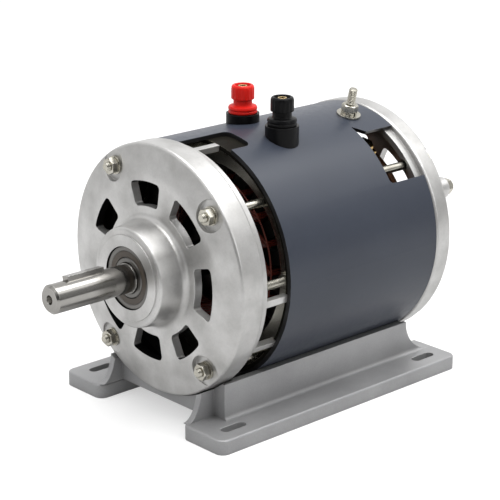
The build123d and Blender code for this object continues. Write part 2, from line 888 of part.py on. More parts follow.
# Dished spring washer that preloads the rear bearing
with BuildPart() as spring_washer:
    with BuildSketch(along_shaft):
        outer_edge = bearing_radius - assembly_gap
        rise = spring_washer_height - spring_washer_thickness
        with BuildLine():
            Polyline(
                (rear_bearing_rear, outer_edge),
                (rear_bearing_rear + spring_washer_thickness, outer_edge),
                (rear_seat_end, spring_washer_bore),
                (rear_bearing_rear + rise, spring_washer_bore),
                close=True,
            )
        make_face()
    revolve(axis=shaft_axis)
save(spring_washer.part, "spring_washer")

# ---------------------------------------------------------------- armature

slot_step = 360 / slot_count
slot_floor = core_radius - slot_depth
slot_roof = core_radius - slot_lip
slot_side = slot_roof - slot_shoulder


def slot_profile(lining):
    """Half-closed winding slot at angle 0, up to its shoulders, shrunk by a lining."""
    with BuildSketch(mode=Mode.PRIVATE) as profile:
        with BuildLine():
            Polyline(
                (slot_floor + lining, slot_bottom_width / 2 - lining),
                (slot_side, slot_top_width / 2 - lining),
                (slot_roof - lining, slot_opening / 2),
                (slot_roof - lining, -slot_opening / 2),
                (slot_side, lining - slot_top_width / 2),
                (slot_floor + lining, lining - slot_bottom_width / 2),
                close=True,
            )
        make_face()
    return profile.sketch


with BuildPart() as armature_core:
    with BuildSketch(across(core_rear)) as lamination:
        Circle(core_radius)
        Circle(body_radius, mode=Mode.SUBTRACT)
        for index in range(slot_count):
            add(slot_profile(0).rotate(Axis.Z, index * slot_step), mode=Mode.SUBTRACT)
        with PolarLocations(core_radius, slot_count):
            Rectangle(2 * (slot_lip + assembly_gap), slot_opening, mode=Mode.SUBTRACT)
    extrude(amount=core_length)
save(armature_core.part, "armature_core")

with BuildPart() as slot_wedges:
    with BuildSketch(across(core_rear + wedge_overhang)):
        with PolarLocations(core_radius - slot_lip / 2, slot_count):
            Rectangle(slot_lip, slot_opening - 2 * wedge_gap)
    extrude(amount=core_length + 2 * wedge_overhang)
save(slot_wedges.part, "slot_wedges")

with BuildPart() as armature_winding:
    # Straight legs in the slots, running out through both ends of the core
    with BuildSketch(across(core_rear + head_neck + head_chamfer)):
        for index in range(slot_count):
            add(slot_profile(slot_lining).rotate(Axis.Z, index * slot_step))
    extrude(amount=core_length + 2 * (head_neck + head_chamfer))
    # Chamfered winding heads, grooved into one knuckle for each slot
    head_spans = (
        (core_front - front_head_length, core_front - head_neck),
        (core_rear + head_neck, core_rear + rear_head_length),
    )
    for head_front, head_rear in head_spans:
        with BuildSketch(along_shaft) as head_section:
            middle = ((head_front + head_rear) / 2, (head_inner_radius + head_outer_radius) / 2)
            with Locations(middle):
                Rectangle(head_rear - head_front, head_outer_radius - head_inner_radius)
            chamfer(head_section.vertices(), head_chamfer)
        revolve(axis=shaft_axis)
        with BuildSketch(across(head_rear)):
            with PolarLocations(head_outer_radius, slot_count, start_angle=slot_step / 2):
                Rectangle(2 * head_groove_depth, head_groove_width)
        extrude(amount=head_rear - head_front, mode=Mode.SUBTRACT)
    # Cone of wires from the rear head down to the commutator risers
    wire_start = core_rear + rear_head_length - head_chamfer
    with BuildSketch(along_shaft):
        with BuildLine():
            Polyline(
                (wire_start, riser_wire_radius),
                (commutator_front, riser_radius),
                (commutator_front, riser_radius - riser_wire_thickness),
                (wire_start, riser_wire_radius - 2 * riser_wire_thickness),
                close=True,
            )
        make_face()
    revolve(axis=shaft_axis)
save(armature_winding.part, "armature_winding")

# ---------------------------------------------------------------- commutator

with BuildPart() as commutator_sleeve:
    with BuildSketch(across(commutator_rear + sleeve_overhang)):
        Circle(sleeve_radius)
        Circle(body_radius, mode=Mode.SUBTRACT)
    extrude(amount=commutator_length + 2 * sleeve_overhang)
save(commutator_sleeve.part, "commutator_sleeve")

with BuildPart() as commutator_bars:
    bar_step = 360 / bar_count
    bar_half = bar_step / 2 - math.degrees(bar_gap / 2 / commutator_radius)
    bar_ends = (
        (commutator_rear, commutator_length, sleeve_radius, commutator_radius),
        (commutator_front + riser_thickness, riser_thickness, commutator_radius, riser_radius),
    )
    for bar_rear, bar_length, bar_inner, bar_outer in bar_ends:
        with BuildSketch(across(bar_rear)):
            for index in range(bar_count):
                middle = index * bar_step
                add(ring_sector(bar_inner, bar_outer, middle - bar_half, middle + bar_half))
        extrude(amount=bar_length)
save(commutator_bars.part, "commutator_bars")

# ---------------------------------------------------------------- brush gear


def screw_places(angle):
    """The two screws of one holder's foot, in a plane square to the shaft."""
    plane = facing(angle, holder_foot_radius)
    offset = (holder_foot_width + brush_width + 2 * holder_wall) / 4
    points = [plane.from_local_coords((0, side * offset, 0)) for side in (-1, 1)]
    return Locations(*[(point.X, point.Z - shaft_height) for point in points])


with BuildPart() as brush_ring:
    arm_start = brush_ring_radius - ear_radius
    with BuildSketch(across(brush_ring_rear)):
        Circle(brush_ring_radius)
        with PolarLocations((arm_start + bolt_circle_radius) / 2, ear_count, start_angle=ear_start_angle):
            SlotCenterToCenter(bolt_circle_radius - arm_start, 2 * ear_radius)
        Circle(brush_ring_bore, mode=Mode.SUBTRACT)
        with on_circle(bolt_circle_radius, ear_angles):
            Circle(bolt_radius, mode=Mode.SUBTRACT)
        for brush_angle in brush_angles:
            with screw_places(brush_angle):
                Circle(holder_screw_radius, mode=Mode.SUBTRACT)
    extrude(amount=brush_ring_thickness)
save(brush_ring.part, "brush_ring")

brush_bottom = commutator_radius + brush_gap
brush_top = brush_bottom + brush_length
plug_bottom = holder_top_radius - cap_plug_length

for brush_name, brush_angle in zip(("upper", "lower"), brush_angles):
    with BuildPart() as brush:
        with BuildSketch(facing(brush_angle, sleeve_radius, brush_y)):
            Rectangle(brush_axial, brush_width)
        extrude(amount=brush_top - sleeve_radius)
        with BuildSketch(across(brush_ring_front)):
            Circle(brush_bottom)
        extrude(amount=2 * (brush_ring_front - brush_y), mode=Mode.SUBTRACT)
    save(brush.part, f"{brush_name}_brush")

    with BuildPart() as holder:
        with BuildSketch(facing(brush_angle, holder_bottom_radius, brush_y)):
            Rectangle(brush_axial + 2 * holder_wall, brush_width + 2 * holder_wall)
            Rectangle(brush_axial + 2 * brush_fit, brush_width + 2 * brush_fit, mode=Mode.SUBTRACT)
        extrude(amount=holder_top_radius - holder_bottom_radius)
        foot_bottom = holder_foot_radius - holder_foot_length / 2
        with BuildSketch(facing(brush_angle, foot_bottom, holder_foot_front + holder_foot_thickness / 2)):
            Rectangle(holder_foot_thickness, holder_foot_width)
        extrude(amount=holder_foot_length)
        with BuildSketch(across(brush_ring_front)):
            with screw_places(brush_angle):
                Circle(holder_screw_radius)
        extrude(amount=holder_foot_thickness, mode=Mode.SUBTRACT)
    save(holder.part, f"{brush_name}_brush_holder")

    with BuildPart() as brush_spring:
        spring_length = plug_bottom - brush_top - spring_wire
        foot = facing(brush_angle, brush_top + spring_wire / 2, brush_y)
        with BuildLine():
            coil = Helix(spring_length / spring_turns, spring_length, spring_coil_radius, foot.origin, foot.z_dir)
        with BuildSketch(Plane(origin=coil @ 0, z_dir=coil % 0, x_dir=foot.z_dir)):
            Rectangle(spring_wire, spring_wire)
        sweep(path=coil, is_frenet=True)
    save(brush_spring.part, f"{brush_name}_brush_spring")

with BuildPart() as brush_caps:
    for brush_angle in brush_angles:
        with BuildSketch(facing(brush_angle, plug_bottom, brush_y)):
            Rectangle(brush_axial, brush_width)
        extrude(amount=cap_plug_length)
        with BuildSketch(facing(brush_angle, holder_top_radius, brush_y)):
            hexagon(cap_head_across_flats)
        extrude(amount=cap_head_height)
save(brush_caps.part, "brush_caps")

with BuildPart() as holder_screws:
    for brush_angle in brush_angles:
        with BuildSketch(across(brush_ring_rear)):
            with screw_places(brush_angle):
                Circle(holder_screw_radius)
        extrude(amount=brush_ring_rear - holder_foot_front)
        with BuildSketch(across(holder_foot_front)):
            with screw_places(brush_angle):
                Circle(holder_screw_head_radius)
        extrude(amount=holder_screw_head_height)
save(holder_screws.part, "holder_screws")

# ---------------------------------------------------------------- binding posts


def post_levels(x):
    """Heights of one post's stations, from its place on the round housing."""
    uphill = max(abs(x) - collar_radius, 0)
    seat = height_on(housing_radius, uphill) + collar_height
    insulator_bottom = height_on(liner_bore, abs(x) + insulator_radius) - insulator_height
    tag_bottom = insulator_bottom - tag_thickness
    return {
        "seat": seat,
        "neck_top": seat + post_height,
        "top": seat + post_height + cap_height,
        "spigot_end": height_on(liner_bore, abs(x) - collar_spigot_radius),
        "insulator_bottom": insulator_bottom,
        "tag_bottom": tag_bottom,
        "stem_end": tag_bottom - terminal_nut_height - stem_end_length,
    }


def tag_end(x):
    """Rear end of one terminal tag's barrel, where the lead enters it."""
    axis_z = post_levels(x)["insulator_bottom"] - tag_barrel_radius
    return Plane(origin=(x, post_y + tag_reach, axis_z), x_dir=(1, 0, 0), z_dir=(0, -1, 0))


for post_name, post_x in zip(("positive", "negative"), post_xs):
    level = post_levels(post_x)

    with BuildPart() as collar:
        with BuildSketch(Plane.XY.offset(shaft_height)):
            with Locations((post_x, post_y)):
                Circle(collar_radius)
        extrude(amount=level["seat"] - shaft_height)
        with BuildSketch(across(post_y + collar_radius)):
            Circle(housing_radius)
        extrude(amount=2 * collar_radius, mode=Mode.SUBTRACT)
        with BuildSketch(Plane.XY.offset(level["spigot_end"])):
            with Locations((post_x, post_y)):
                Circle(collar_spigot_radius)
        extrude(amount=level["seat"] - level["spigot_end"])
        with BuildSketch(Plane.XY.offset(level["spigot_end"])):
            with Locations((post_x, post_y)):
                Circle(stem_foot_radius)
        extrude(amount=level["seat"] - level["spigot_end"], mode=Mode.SUBTRACT)
    save(collar.part, f"{post_name}_collar")

    post_plane = Plane(origin=(post_x, post_y, level["seat"]), x_dir=(1, 0, 0), z_dir=(0, -1, 0))
    post_axis = Axis((post_x, post_y, 0), (0, 0, 1))
    with BuildPart() as post:
        with BuildSketch(post_plane):
            with BuildLine():
                Polyline(
                    (stem_radius, 0),
                    (post_flange_radius, 0),
                    (post_flange_top_radius, post_flange_height),
                    (post_neck_radius, post_flange_height),
                    (post_neck_radius, post_height),
                    (stem_radius, post_height),
                    close=True,
                )
            make_face()
        revolve(axis=post_axis)
    save(post.part, f"{post_name}_post")

    insert_radius = stem_radius + thread_fit + insert_wall
    with BuildPart() as cap:
        with BuildSketch(Plane.XY.offset(level["neck_top"])):
            with Locations((post_x, post_y)):
                Circle(cap_radius)
        extrude(amount=cap_height)
        chamfer(circle_edges(cap, cap_radius), cap_chamfer)
        with BuildSketch(Plane.XY.offset(level["neck_top"])):
            with Locations((post_x, post_y)):
                Circle(insert_radius + thread_fit)
        extrude(amount=insert_height, mode=Mode.SUBTRACT)
        with BuildSketch(Plane.XY.offset(level["neck_top"])):
            with Locations((post_x, post_y)):
                Circle(cap_mouth_radius)
            with Locations((post_x, post_y)):
                with PolarLocations(cap_radius, flute_count):
                    Circle(flute_radius)
        extrude(amount=cap_height, mode=Mode.SUBTRACT)
    save(cap.part, f"{post_name}_cap")

    with BuildPart() as insert:
        with BuildSketch(Plane.XY.offset(level["neck_top"])):
            with Locations((post_x, post_y)):
                Circle(insert_radius)
                Circle(stem_radius + thread_fit, mode=Mode.SUBTRACT)
        extrude(amount=insert_height)
    save(insert.part, f"{post_name}_cap_insert")

    with BuildPart() as stem:
        stem_top = level["top"] - stem_recess
        with BuildSketch(Plane.XY.offset(level["seat"])):
            with Locations((post_x, post_y)):
                Circle(stem_radius)
        extrude(amount=stem_top - level["seat"])
        with BuildSketch(Plane.XY.offset(level["stem_end"])):
            with Locations((post_x, post_y)):
                Circle(stem_foot_radius)
        extrude(amount=level["seat"] - level["stem_end"])
        with BuildSketch(Plane.XY.offset(stem_top - socket_depth)):
            with Locations((post_x, post_y)):
                Circle(socket_radius)
        extrude(amount=socket_depth, mode=Mode.SUBTRACT)
    save(stem.part, f"{post_name}_stem")

with BuildPart() as inner_insulators:
    for post_x in post_xs:
        level = post_levels(post_x)
        with BuildSketch(Plane.XY.offset(level["insulator_bottom"])):
            with Locations((post_x, post_y)):
                Circle(insulator_radius)
                Circle(stem_foot_radius, mode=Mode.SUBTRACT)
        extrude(amount=level["seat"] - level["insulator_bottom"])
    with BuildSketch(across(post_y + insulator_radius)):
        Circle(2 * housing_radius)
        Circle(liner_bore, mode=Mode.SUBTRACT)
    extrude(amount=2 * insulator_radius, mode=Mode.SUBTRACT)
save(inner_insulators.part, "inner_insulators")

with BuildPart() as terminal_tags:
    for post_x in post_xs:
        level = post_levels(post_x)
        with BuildSketch(Plane.XY.offset(level["tag_bottom"])):
            with Locations((post_x, post_y)):
                Circle(tag_radius)
            with Locations((post_x, post_y + tag_reach / 2)):
                Rectangle(2 * tag_barrel_radius, tag_reach)
            with Locations((post_x, post_y)):
                Circle(stem_foot_radius, mode=Mode.SUBTRACT)
        extrude(amount=tag_thickness)
        with BuildSketch(tag_end(post_x)):
            Circle(tag_barrel_radius)
        extrude(amount=tag_barrel_length)
save(terminal_tags.part, "terminal_tags")

with BuildPart() as terminal_nuts:
    for post_x in post_xs:
        level = post_levels(post_x)
        with BuildSketch(Plane.XY.offset(level["stem_end"] + stem_end_length)):
            with Locations((post_x, post_y)):
                hexagon(terminal_nut_across_flats)
                Circle(stem_foot_radius, mode=Mode.SUBTRACT)
        extrude(amount=terminal_nut_height)
save(terminal_nuts.part, "terminal_nuts")

# ---------------------------------------------------------------- earth stud

# The head bears on the round bore with its corners, the washers stand on the crest outside.
hex_corner = hex_across_flats / math.sqrt(3)
earth_head_seat = math.sqrt(housing_bore**2 - hex_corner**2)
lock_washer_seat = housing_radius + earth_washer_thickness
earth_nut_seat = lock_washer_seat + lock_washer_thickness

with BuildPart() as earth_stud:
    with BuildSketch(facing(earth_angle, earth_head_seat, earth_y)):
        Circle(bolt_radius)
    extrude(amount=housing_radius - earth_head_seat + earth_stud_length)
    with BuildSketch(facing(earth_angle, earth_head_seat - hex_head_height, earth_y)):
        hexagon(hex_across_flats)
    extrude(amount=hex_head_height)
save(earth_stud.part, "earth_stud")

with BuildPart() as earth_washers:
    with BuildSketch(facing(earth_angle, housing_radius, earth_y)):
        Circle(earth_washer_radius)
        Circle(bolt_radius, mode=Mode.SUBTRACT)
    extrude(amount=earth_washer_thickness)
    with BuildSketch(facing(earth_angle, lock_washer_seat, earth_y)):
        Circle(lock_washer_radius)
        Circle(bolt_radius, mode=Mode.SUBTRACT)
        with Locations((0, -lock_washer_radius)):
            Rectangle(lock_washer_split, 2 * lock_washer_radius, mode=Mode.SUBTRACT)
    extrude(amount=lock_washer_thickness)
save(earth_washers.part, "earth_washers")

with BuildPart() as earth_nut:
    with BuildSketch(facing(earth_angle, earth_nut_seat, earth_y)):
        hexagon(hex_across_flats)
        Circle(bolt_radius, mode=Mode.SUBTRACT)
    extrude(amount=hex_nut_height)
save(earth_nut.part, "earth_nut")

# ---------------------------------------------------------------- internal leads


def lead_route(x, route, brush_angle):
    """Points of one lead: out of the tag, along its route and square onto the holder."""
    wall = brush_width / 2 + holder_wall
    start = tag_end(x).origin
    holder_side = facing(brush_angle, lead_end_radius, lead_end_y)
    approach = holder_side.from_local_coords((0, wall + lead_approach, 0))
    end = holder_side.from_local_coords((0, wall, 0))
    middle = [facing(*point).origin for point in route]
    return [start, start + Vector(0, lead_start, 0)] + middle + [approach, end]


def bend_radii(points):
    """The largest bend at each inner point that its two runs leave room for."""
    runs = [after - before for before, after in zip(points, points[1:])]
    radii = []
    for entering, leaving in zip(runs, runs[1:]):
        half_turn = math.radians(entering.get_angle(leaving)) / 2
        radii.append(0.45 * min(entering.length, leaving.length) / math.tan(half_turn))
    return radii


lead_routes = (
    ("positive_lead", post_xs[0], positive_route, brush_angles[0]),
    ("negative_lead", post_xs[1], negative_route, brush_angles[1]),
)
for lead_name, post_x, route, brush_angle in lead_routes:
    points = lead_route(post_x, route, brush_angle)
    radii = bend_radii(points)
    print(lead_name, "bend radii", [round(radius, 1) for radius in radii])
    with BuildPart() as lead:
        with BuildLine() as path:
            FilletPolyline(*points, radius=radii)
        with BuildSketch(Plane(origin=points[0], z_dir=points[1] - points[0])):
            Circle(lead_radius)
        sweep(path=path.wires()[0])
    save(lead.part, lead_name)
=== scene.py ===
import json
import math
import random

import bmesh
import bpy
from mathutils import Matrix, Vector


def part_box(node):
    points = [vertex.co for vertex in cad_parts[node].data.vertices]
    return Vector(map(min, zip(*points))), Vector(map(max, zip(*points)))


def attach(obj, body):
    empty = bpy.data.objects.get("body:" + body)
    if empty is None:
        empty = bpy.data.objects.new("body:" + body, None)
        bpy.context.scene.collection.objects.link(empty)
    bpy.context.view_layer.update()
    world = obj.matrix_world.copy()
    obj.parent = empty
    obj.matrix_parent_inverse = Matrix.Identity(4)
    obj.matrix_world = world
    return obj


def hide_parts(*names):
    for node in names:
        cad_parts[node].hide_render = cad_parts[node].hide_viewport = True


# Demonstration direct-current motor with a cut-away casing, in metres, in the frame of its
# CAD parts: +Z up, the shaft lies along Y with its drive end towards -Y, and the feet stand
# on z = 0. Angles about the shaft are in degrees, from +X (right) through +Z (top).

MM = 0.001

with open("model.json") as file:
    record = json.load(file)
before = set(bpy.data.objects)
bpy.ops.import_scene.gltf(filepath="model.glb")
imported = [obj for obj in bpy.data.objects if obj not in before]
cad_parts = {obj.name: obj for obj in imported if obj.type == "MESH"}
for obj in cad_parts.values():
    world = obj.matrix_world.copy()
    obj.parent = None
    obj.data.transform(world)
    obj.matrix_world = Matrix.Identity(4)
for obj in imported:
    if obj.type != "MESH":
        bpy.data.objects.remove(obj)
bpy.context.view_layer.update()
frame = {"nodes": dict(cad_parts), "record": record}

# ---------------------------------------------------------------- sizes taken from the frame

shaft_low, shaft_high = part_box("shaft")
shaft_height = (shaft_low.z + shaft_high.z) / 2
shaft_centre = Vector((0, 0, shaft_height))
housing_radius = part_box("housing")[1].z - shaft_height
shaft_line = Vector((0, 1, 0))
weld_distance = 0.002 * MM


def outward(angle):
    """Direction away from the shaft at an angle about it."""
    turn = math.radians(angle)
    return Vector((math.cos(turn), 0, math.sin(turn)))


def around(angle, radius, y):
    """A point at an angle, radius and place along the shaft, the two lengths in millimetres."""
    return shaft_centre + outward(angle) * radius * MM + shaft_line * y * MM


def solids_of(node):
    """Lowest and highest corner of each separate solid of a node, in order about the shaft."""
    shape = bmesh.new()
    shape.from_mesh(frame["nodes"][node].data)
    bmesh.ops.remove_doubles(shape, verts=shape.verts, dist=weld_distance)
    seen, boxes = set(), []
    for first in shape.verts:
        if first in seen:
            continue
        seen.add(first)
        found = [first]
        for corner in found:
            for edge in corner.link_edges:
                other = edge.other_vert(corner)
                if other not in seen:
                    seen.add(other)
                    found.append(other)
        low = Vector([min(corner.co[axis] for corner in found) for axis in range(3)])
        high = Vector([max(corner.co[axis] for corner in found) for axis in range(3)])
        boxes.append((low, high))
    shape.free()

    def place_in_order(ends):
        low = ends[0]
        return round(math.atan2(low.z - shaft_height, low.x), 3), low.y

    return sorted(boxes, key=place_in_order)


# ---------------------------------------------------------------- pieces

made_pieces = []


def new_piece(name, data, body, slot, *replaced):
    """Puts a shape into the scene on its body. Its finish is put on with the others."""
    piece = bpy.data.objects.new(name, data)
    bpy.context.scene.collection.objects.link(piece)
    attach(piece, body)
    if replaced:
        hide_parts(*replaced)
    made_pieces.append((piece, slot))
    return piece


def wire_shape(name, runs, radius, closed=False, steps=6, sides=2):
    """Round wires of one radius, each bent smoothly by the points of its run.

    The bevel is one metre, so that the radius of each point is the radius of the wire.
    """
    data = bpy.data.curves.new(name, "CURVE")
    data.dimensions = "3D"
    data.bevel_depth = 1.0
    data.bevel_resolution = sides
    data.use_fill_caps = True
    for points in runs:
        spline = data.splines.new("NURBS")
        spline.points.add(len(points) - 1)
        for control, place in zip(spline.points, points):
            control.co = (*place, 1)
            control.radius = radius
        spline.use_cyclic_u = closed
        spline.order_u = 3
        spline.use_endpoint_u = not closed
        spline.resolution_u = steps
    return data


# ---------------------------------------------------------------- camera


camera_place = (0.8208, -0.7733, 0.4645)
# Turn about the upright, tilt below level and roll, in degrees
camera_angles = (47.20, 18.26, 0.25)
camera_lens = 124.83
camera_clip = (0.05, 50.0)


def make_camera():
    turn, tilt, roll = (math.radians(angle) for angle in camera_angles)
    data = bpy.data.cameras.new("camera")
    data.lens = camera_lens
    data.clip_start, data.clip_end = camera_clip
    camera = bpy.data.objects.new("camera", data)
    bpy.context.scene.collection.objects.link(camera)
    aim = Matrix.Rotation(turn, 4, "Z") @ Matrix.Rotation(math.pi / 2 - tilt, 4, "X")
    aim = aim @ Matrix.Rotation(roll, 4, "Z")
    camera.matrix_world = Matrix.Translation(camera_place) @ aim
    bpy.context.scene.camera = camera


make_camera()

# ---------------------------------------------------------------- internal leads

lead_radius = 1.25 * MM
tag_y = 1.6 * MM
straight_out = Vector((0, 19 * MM, 0))
holder_side = 6.0
holder_approach = 28.0
lead_end_radius, lead_end_y = 58.0, 63.0


def beside_holder(angle, distance):
    """A point level with the end of a lead, at a distance from the middle of its brush holder."""
    along_face = Vector((-math.sin(math.radians(angle)), 0, math.cos(math.radians(angle))))
    return around(angle, lead_end_radius, lead_end_y) + along_face * distance * MM


def make_lead(name, body, slot, tag, middle, holder_angle):
    """A lead out of its terminal tag, round inside the liner and square onto its brush holder."""
    start = Vector((tag[0] * MM, tag_y, tag[1] * MM))
    route = [start, start + straight_out] + [around(*point) for point in middle]
    route += [beside_holder(holder_angle, holder_approach), beside_holder(holder_angle, holder_side)]
    wire = wire_shape(name + "_cord", [route], lead_radius, steps=12)
    lead = new_piece(name + "_cord", wire, body, slot, name)


make_lead(
    "positive_lead",
    "frame",
    "lead_insulation_red",
    tag=(-10.8, 172.33),
    middle=[(95, 72, 42)],
    holder_angle=65,
)
make_lead(
    "negative_lead",
    "frame",
    "lead_insulation_black",
    tag=(27.2, 166.45),
    middle=[
        (63.5, 70.5, 44), (40, 66, 55), (14, 66, 54),
        (-12, 66, 54.5), (-38, 66, 54), (-64, 66, 57),
    ],
    holder_angle=245,
)

# ---------------------------------------------------------------- screws and nuts

thread_columns = 32
rows_per_turn = 6
thread_pitch = 1 * MM
thread_depth = 0.5 * MM
thread_root, thread_flank = 0.15, 0.7
tip_chamfer = 0.7 * MM
tie_bolt_threads = (10 * MM, 18 * MM)
hex_columns = 48
hex_face_share = 0.48
hex_face_slope = math.radians(30)
hex_inner_share = 0.7
nut_bore = 2.6 * MM
sharp_angle = math.radians(28)


def facing(origin, axis, turn=0.0):
    """A local frame whose Z is the axis, turned about it."""
    aim = axis.to_track_quat("Z", "Y").to_matrix().to_4x4()
    return Matrix.Translation(origin) @ aim @ Matrix.Rotation(turn, 4, "Z")


def skin_rings(shape, rings, joined=False):
    """Joins rings of points into a skin, closed at its ends or joined from last ring to first."""
    rows = [[shape.verts.new(point) for point in ring] for ring in rings]
    pairs = list(zip(rows, rows[1:]))
    if joined:
        pairs.append((rows[-1], rows[0]))
    else:
        shape.faces.new(list(reversed(rows[0])))
        shape.faces.new(rows[-1])
    for lower, upper in pairs:
        for index in range(len(lower)):
            following = (index + 1) % len(lower)
            shape.faces.new((lower[index], lower[following], upper[following], upper[index]))


def groove(height, turn):
    """How deep a V thread is cut at a height and angle, from 0 at its crest to 1 at its root."""
    phase = (height / thread_pitch - turn / math.tau) % 1.0
    return 1.0 - min(1.0, max(0.0, (abs(2 * phase - 1) - thread_root) / thread_flank))


def add_rod(shape, place, length, radius, threads):
    """A rod with chamfered ends and a thread over each span given in threads."""
    heights = {0.0, tip_chamfer, length - tip_chamfer, length}
    for start, end in threads:
        rows = round((end - start) / thread_pitch * rows_per_turn)
        heights.update(start + (end - start) * row / rows for row in range(rows + 1))
    rings = []
    for height in sorted(heights):
        cut = thread_depth if any(start < height < end for start, end in threads) else 0.0
        tip = tip_chamfer - min(height, length - height)
        ring = []
        for column in range(thread_columns):
            turn = math.tau * column / thread_columns
            reach = radius - max(cut * groove(height, turn), tip)
            ring.append(place @ Vector((reach * math.cos(turn), reach * math.sin(turn), height)))
        rings.append(ring)
    skin_rings(shape, rings)


def add_hexagon(shape, place, height, flats, bore=None):
    """A hexagonal head, or a nut when it has a bore, with the corners of both faces turned off."""
    rim = hex_face_share * flats
    inner = bore if bore else hex_inner_share * rim
    rings = [[] for number in range(6)]
    for column in range(hex_columns):
        turn = math.tau * column / hex_columns
        side = flats / 2 / math.cos(turn % (math.pi / 3) - math.pi / 6)
        drop = (side - rim) * math.tan(hex_face_slope)
        aim = Vector((math.cos(turn), math.sin(turn), 0))
        lower = ((inner, 0), (rim, 0), (side, drop))
        upper = ((side, height - drop), (rim, height), (inner, height))
        for ring, (reach, level) in zip(rings, lower + upper):
            ring.append(place @ (aim * reach + Vector((0, 0, level))))
    skin_rings(shape, rings, joined=bore is not None)


def finished_mesh(name, shape):
    """The mesh of a shape, its faces smooth and its hard edges sharp."""
    bmesh.ops.recalc_face_normals(shape, faces=shape.faces)
    mesh = bpy.data.meshes.new(name)
    shape.to_mesh(mesh)
    shape.free()
    mesh.shade_smooth()
    mesh.set_sharp_from_angle(angle=sharp_angle)
    return mesh


def new_fastener(name, shape, replaced):
    new_piece(name, finished_mesh(name, shape), "frame", "zinc_steel", replaced)


def rod_along_shaft(shape, low, high, spans):
    """A rod that fills a box along the shaft, threaded over a span at each end or, with none, all over."""
    middle = (low + high) / 2
    length = high.y - low.y
    radius = (high.x - low.x) / 2
    threads = [(0.0, spans[0]), (length - spans[1], length)] if spans else [(0.0, length)]
    add_rod(shape, facing(Vector((middle.x, low.y, middle.z)), shaft_line), length, radius, threads)


def make_screws():
    chance = random.Random(11)
    shape = bmesh.new()
    for low, high in solids_of("tie_bolts"):
        rod_along_shaft(shape, low, high, tie_bolt_threads)
    new_fastener("threaded_tie_bolts", shape, "tie_bolts")

    shape = bmesh.new()
    for low, high in solids_of("clamp_studs"):
        rod_along_shaft(shape, low, high, None)
    new_fastener("threaded_clamp_studs", shape, "clamp_studs")

    shape = bmesh.new()
    for low, high in solids_of("hex_nuts"):
        size = high - low
        axis = min(range(3), key=lambda number: size[number])
        middle = (low + high) / 2
        aim = Vector([1.0 if number == axis else 0.0 for number in range(3)])
        flats = sorted(size)[1]
        place = facing(middle - aim * size[axis] / 2, aim, chance.uniform(0, math.tau))
        add_hexagon(shape, place, size[axis], flats, nut_bore)
    new_fastener("chamfered_nuts", shape, "hex_nuts")


make_screws()

# Angle, place along the shaft, flats and the casing's bore in degrees and millimetres
earth_angle, earth_y, earth_flats, casing_bore = 77.0, 60.6, 10, 77.5
earth_head_height, earth_nut_height = 4 * MM, 5 * MM
earth_nut_turn = math.radians(12)
earth_stud_radius = 3 * MM
earth_stud_rise = 19.5 * MM
earth_thread_start = 1 * MM


def make_earth_stud():
    """The earth stud with its thread and the head under it, and the nut on it."""
    aim = outward(earth_angle)
    flats = earth_flats * MM
    nut_low, nut_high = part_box("earth_nut")
    nut_level = ((nut_low + nut_high) / 2 - shaft_centre).dot(aim)
    seat = math.sqrt(casing_bore**2 - earth_flats**2 / 3) * MM
    length = housing_radius + earth_stud_rise - seat
    centre = shaft_centre + shaft_line * earth_y * MM
    rod_place = facing(centre + aim * seat, aim)
    head_place = facing(centre + aim * (seat - earth_head_height), aim)
    nut_place = facing(centre + aim * (nut_level - earth_nut_height / 2), aim, earth_nut_turn)

    shape = bmesh.new()
    add_rod(shape, rod_place, length, earth_stud_radius, [(earth_thread_start, length)])
    add_hexagon(shape, head_place, earth_head_height, flats)
    new_fastener("threaded_earth_stud", shape, "earth_stud")

    shape = bmesh.new()
    add_hexagon(shape, nut_place, earth_nut_height, flats, nut_bore)
    new_fastener("chamfered_earth_nut", shape, "earth_nut")


make_earth_stud()

# ---------------------------------------------------------------- terminal caps and posts

cap_columns = 96
flute_count = 16
flute_depth = 0.28
cap_profile = (
    (6.6, -2.3), (7.3, -2.4), (7.7, -2.1), (7.8, -1.6), (7.8, 0.4), (7.8, 2.6), (7.8, 4.6), (7.6, 5.9),
    (7.1, 6.8), (6.5, 7.2), (5.9, 7.2), (5.5, 7.0), (5.3, 6.5), (5.0, 5.2), (3.75, 4.4), (3.65, 2.0),
    (3.7, 0.1), (6.6, 0.1),
)
post_profile = (
    (3.1, 0.05), (9.3, 0.05), (9.7, 0.5), (9.7, 1.6), (9.4, 2.1), (9.4, 2.5), (9.8, 3.0), (9.7, 4.1),
    (9.2, 4.9), (8.3, 5.25), (7.2, 5.35), (6.5, 5.8), (6.3, 6.6), (6.3, 11.2), (5.9, 11.75), (3.1, 11.8),
)


def lathe_mesh(name, centre, base, profile, flutes=None):
    """A turned form about an upright axis, with flutes between two points of its profile if given."""
    shape = bmesh.new()
    rings = []
    for number, (radius, level) in enumerate(profile):
        height = base + level * MM
        ring = []
        for column in range(cap_columns):
            turn = math.tau * column / cap_columns
            cut = 0.0
            if flutes and flutes[0] <= number <= flutes[1]:
                cut = flute_depth * (0.5 + 0.5 * math.cos(flute_count * turn)) ** 2
            reach = (radius - cut) * MM
            across = (centre.x + reach * math.cos(turn), centre.y + reach * math.sin(turn))
            ring.append(Vector((*across, height)))
        rings.append(ring)
    skin_rings(shape, rings, joined=True)
    return finished_mesh(name, shape)


def make_terminal(sign, slot):
    low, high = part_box(sign + "_cap")
    centre = (low + high) / 2
    cap = lathe_mesh(sign + "_turned_cap", centre, low.z, cap_profile, flutes=(3, 6))
    new_piece(sign + "_turned_cap", cap, sign + "_cap", slot, sign + "_cap")
    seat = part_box(sign + "_post")[0].z
    post = lathe_mesh(sign + "_turned_post", centre, seat, post_profile)
    new_piece(sign + "_turned_post", post, "frame", slot, sign + "_post")


make_terminal("positive", "red_plastic")
make_terminal("negative", "black_plastic")

# ---------------------------------------------------------------- armature winding

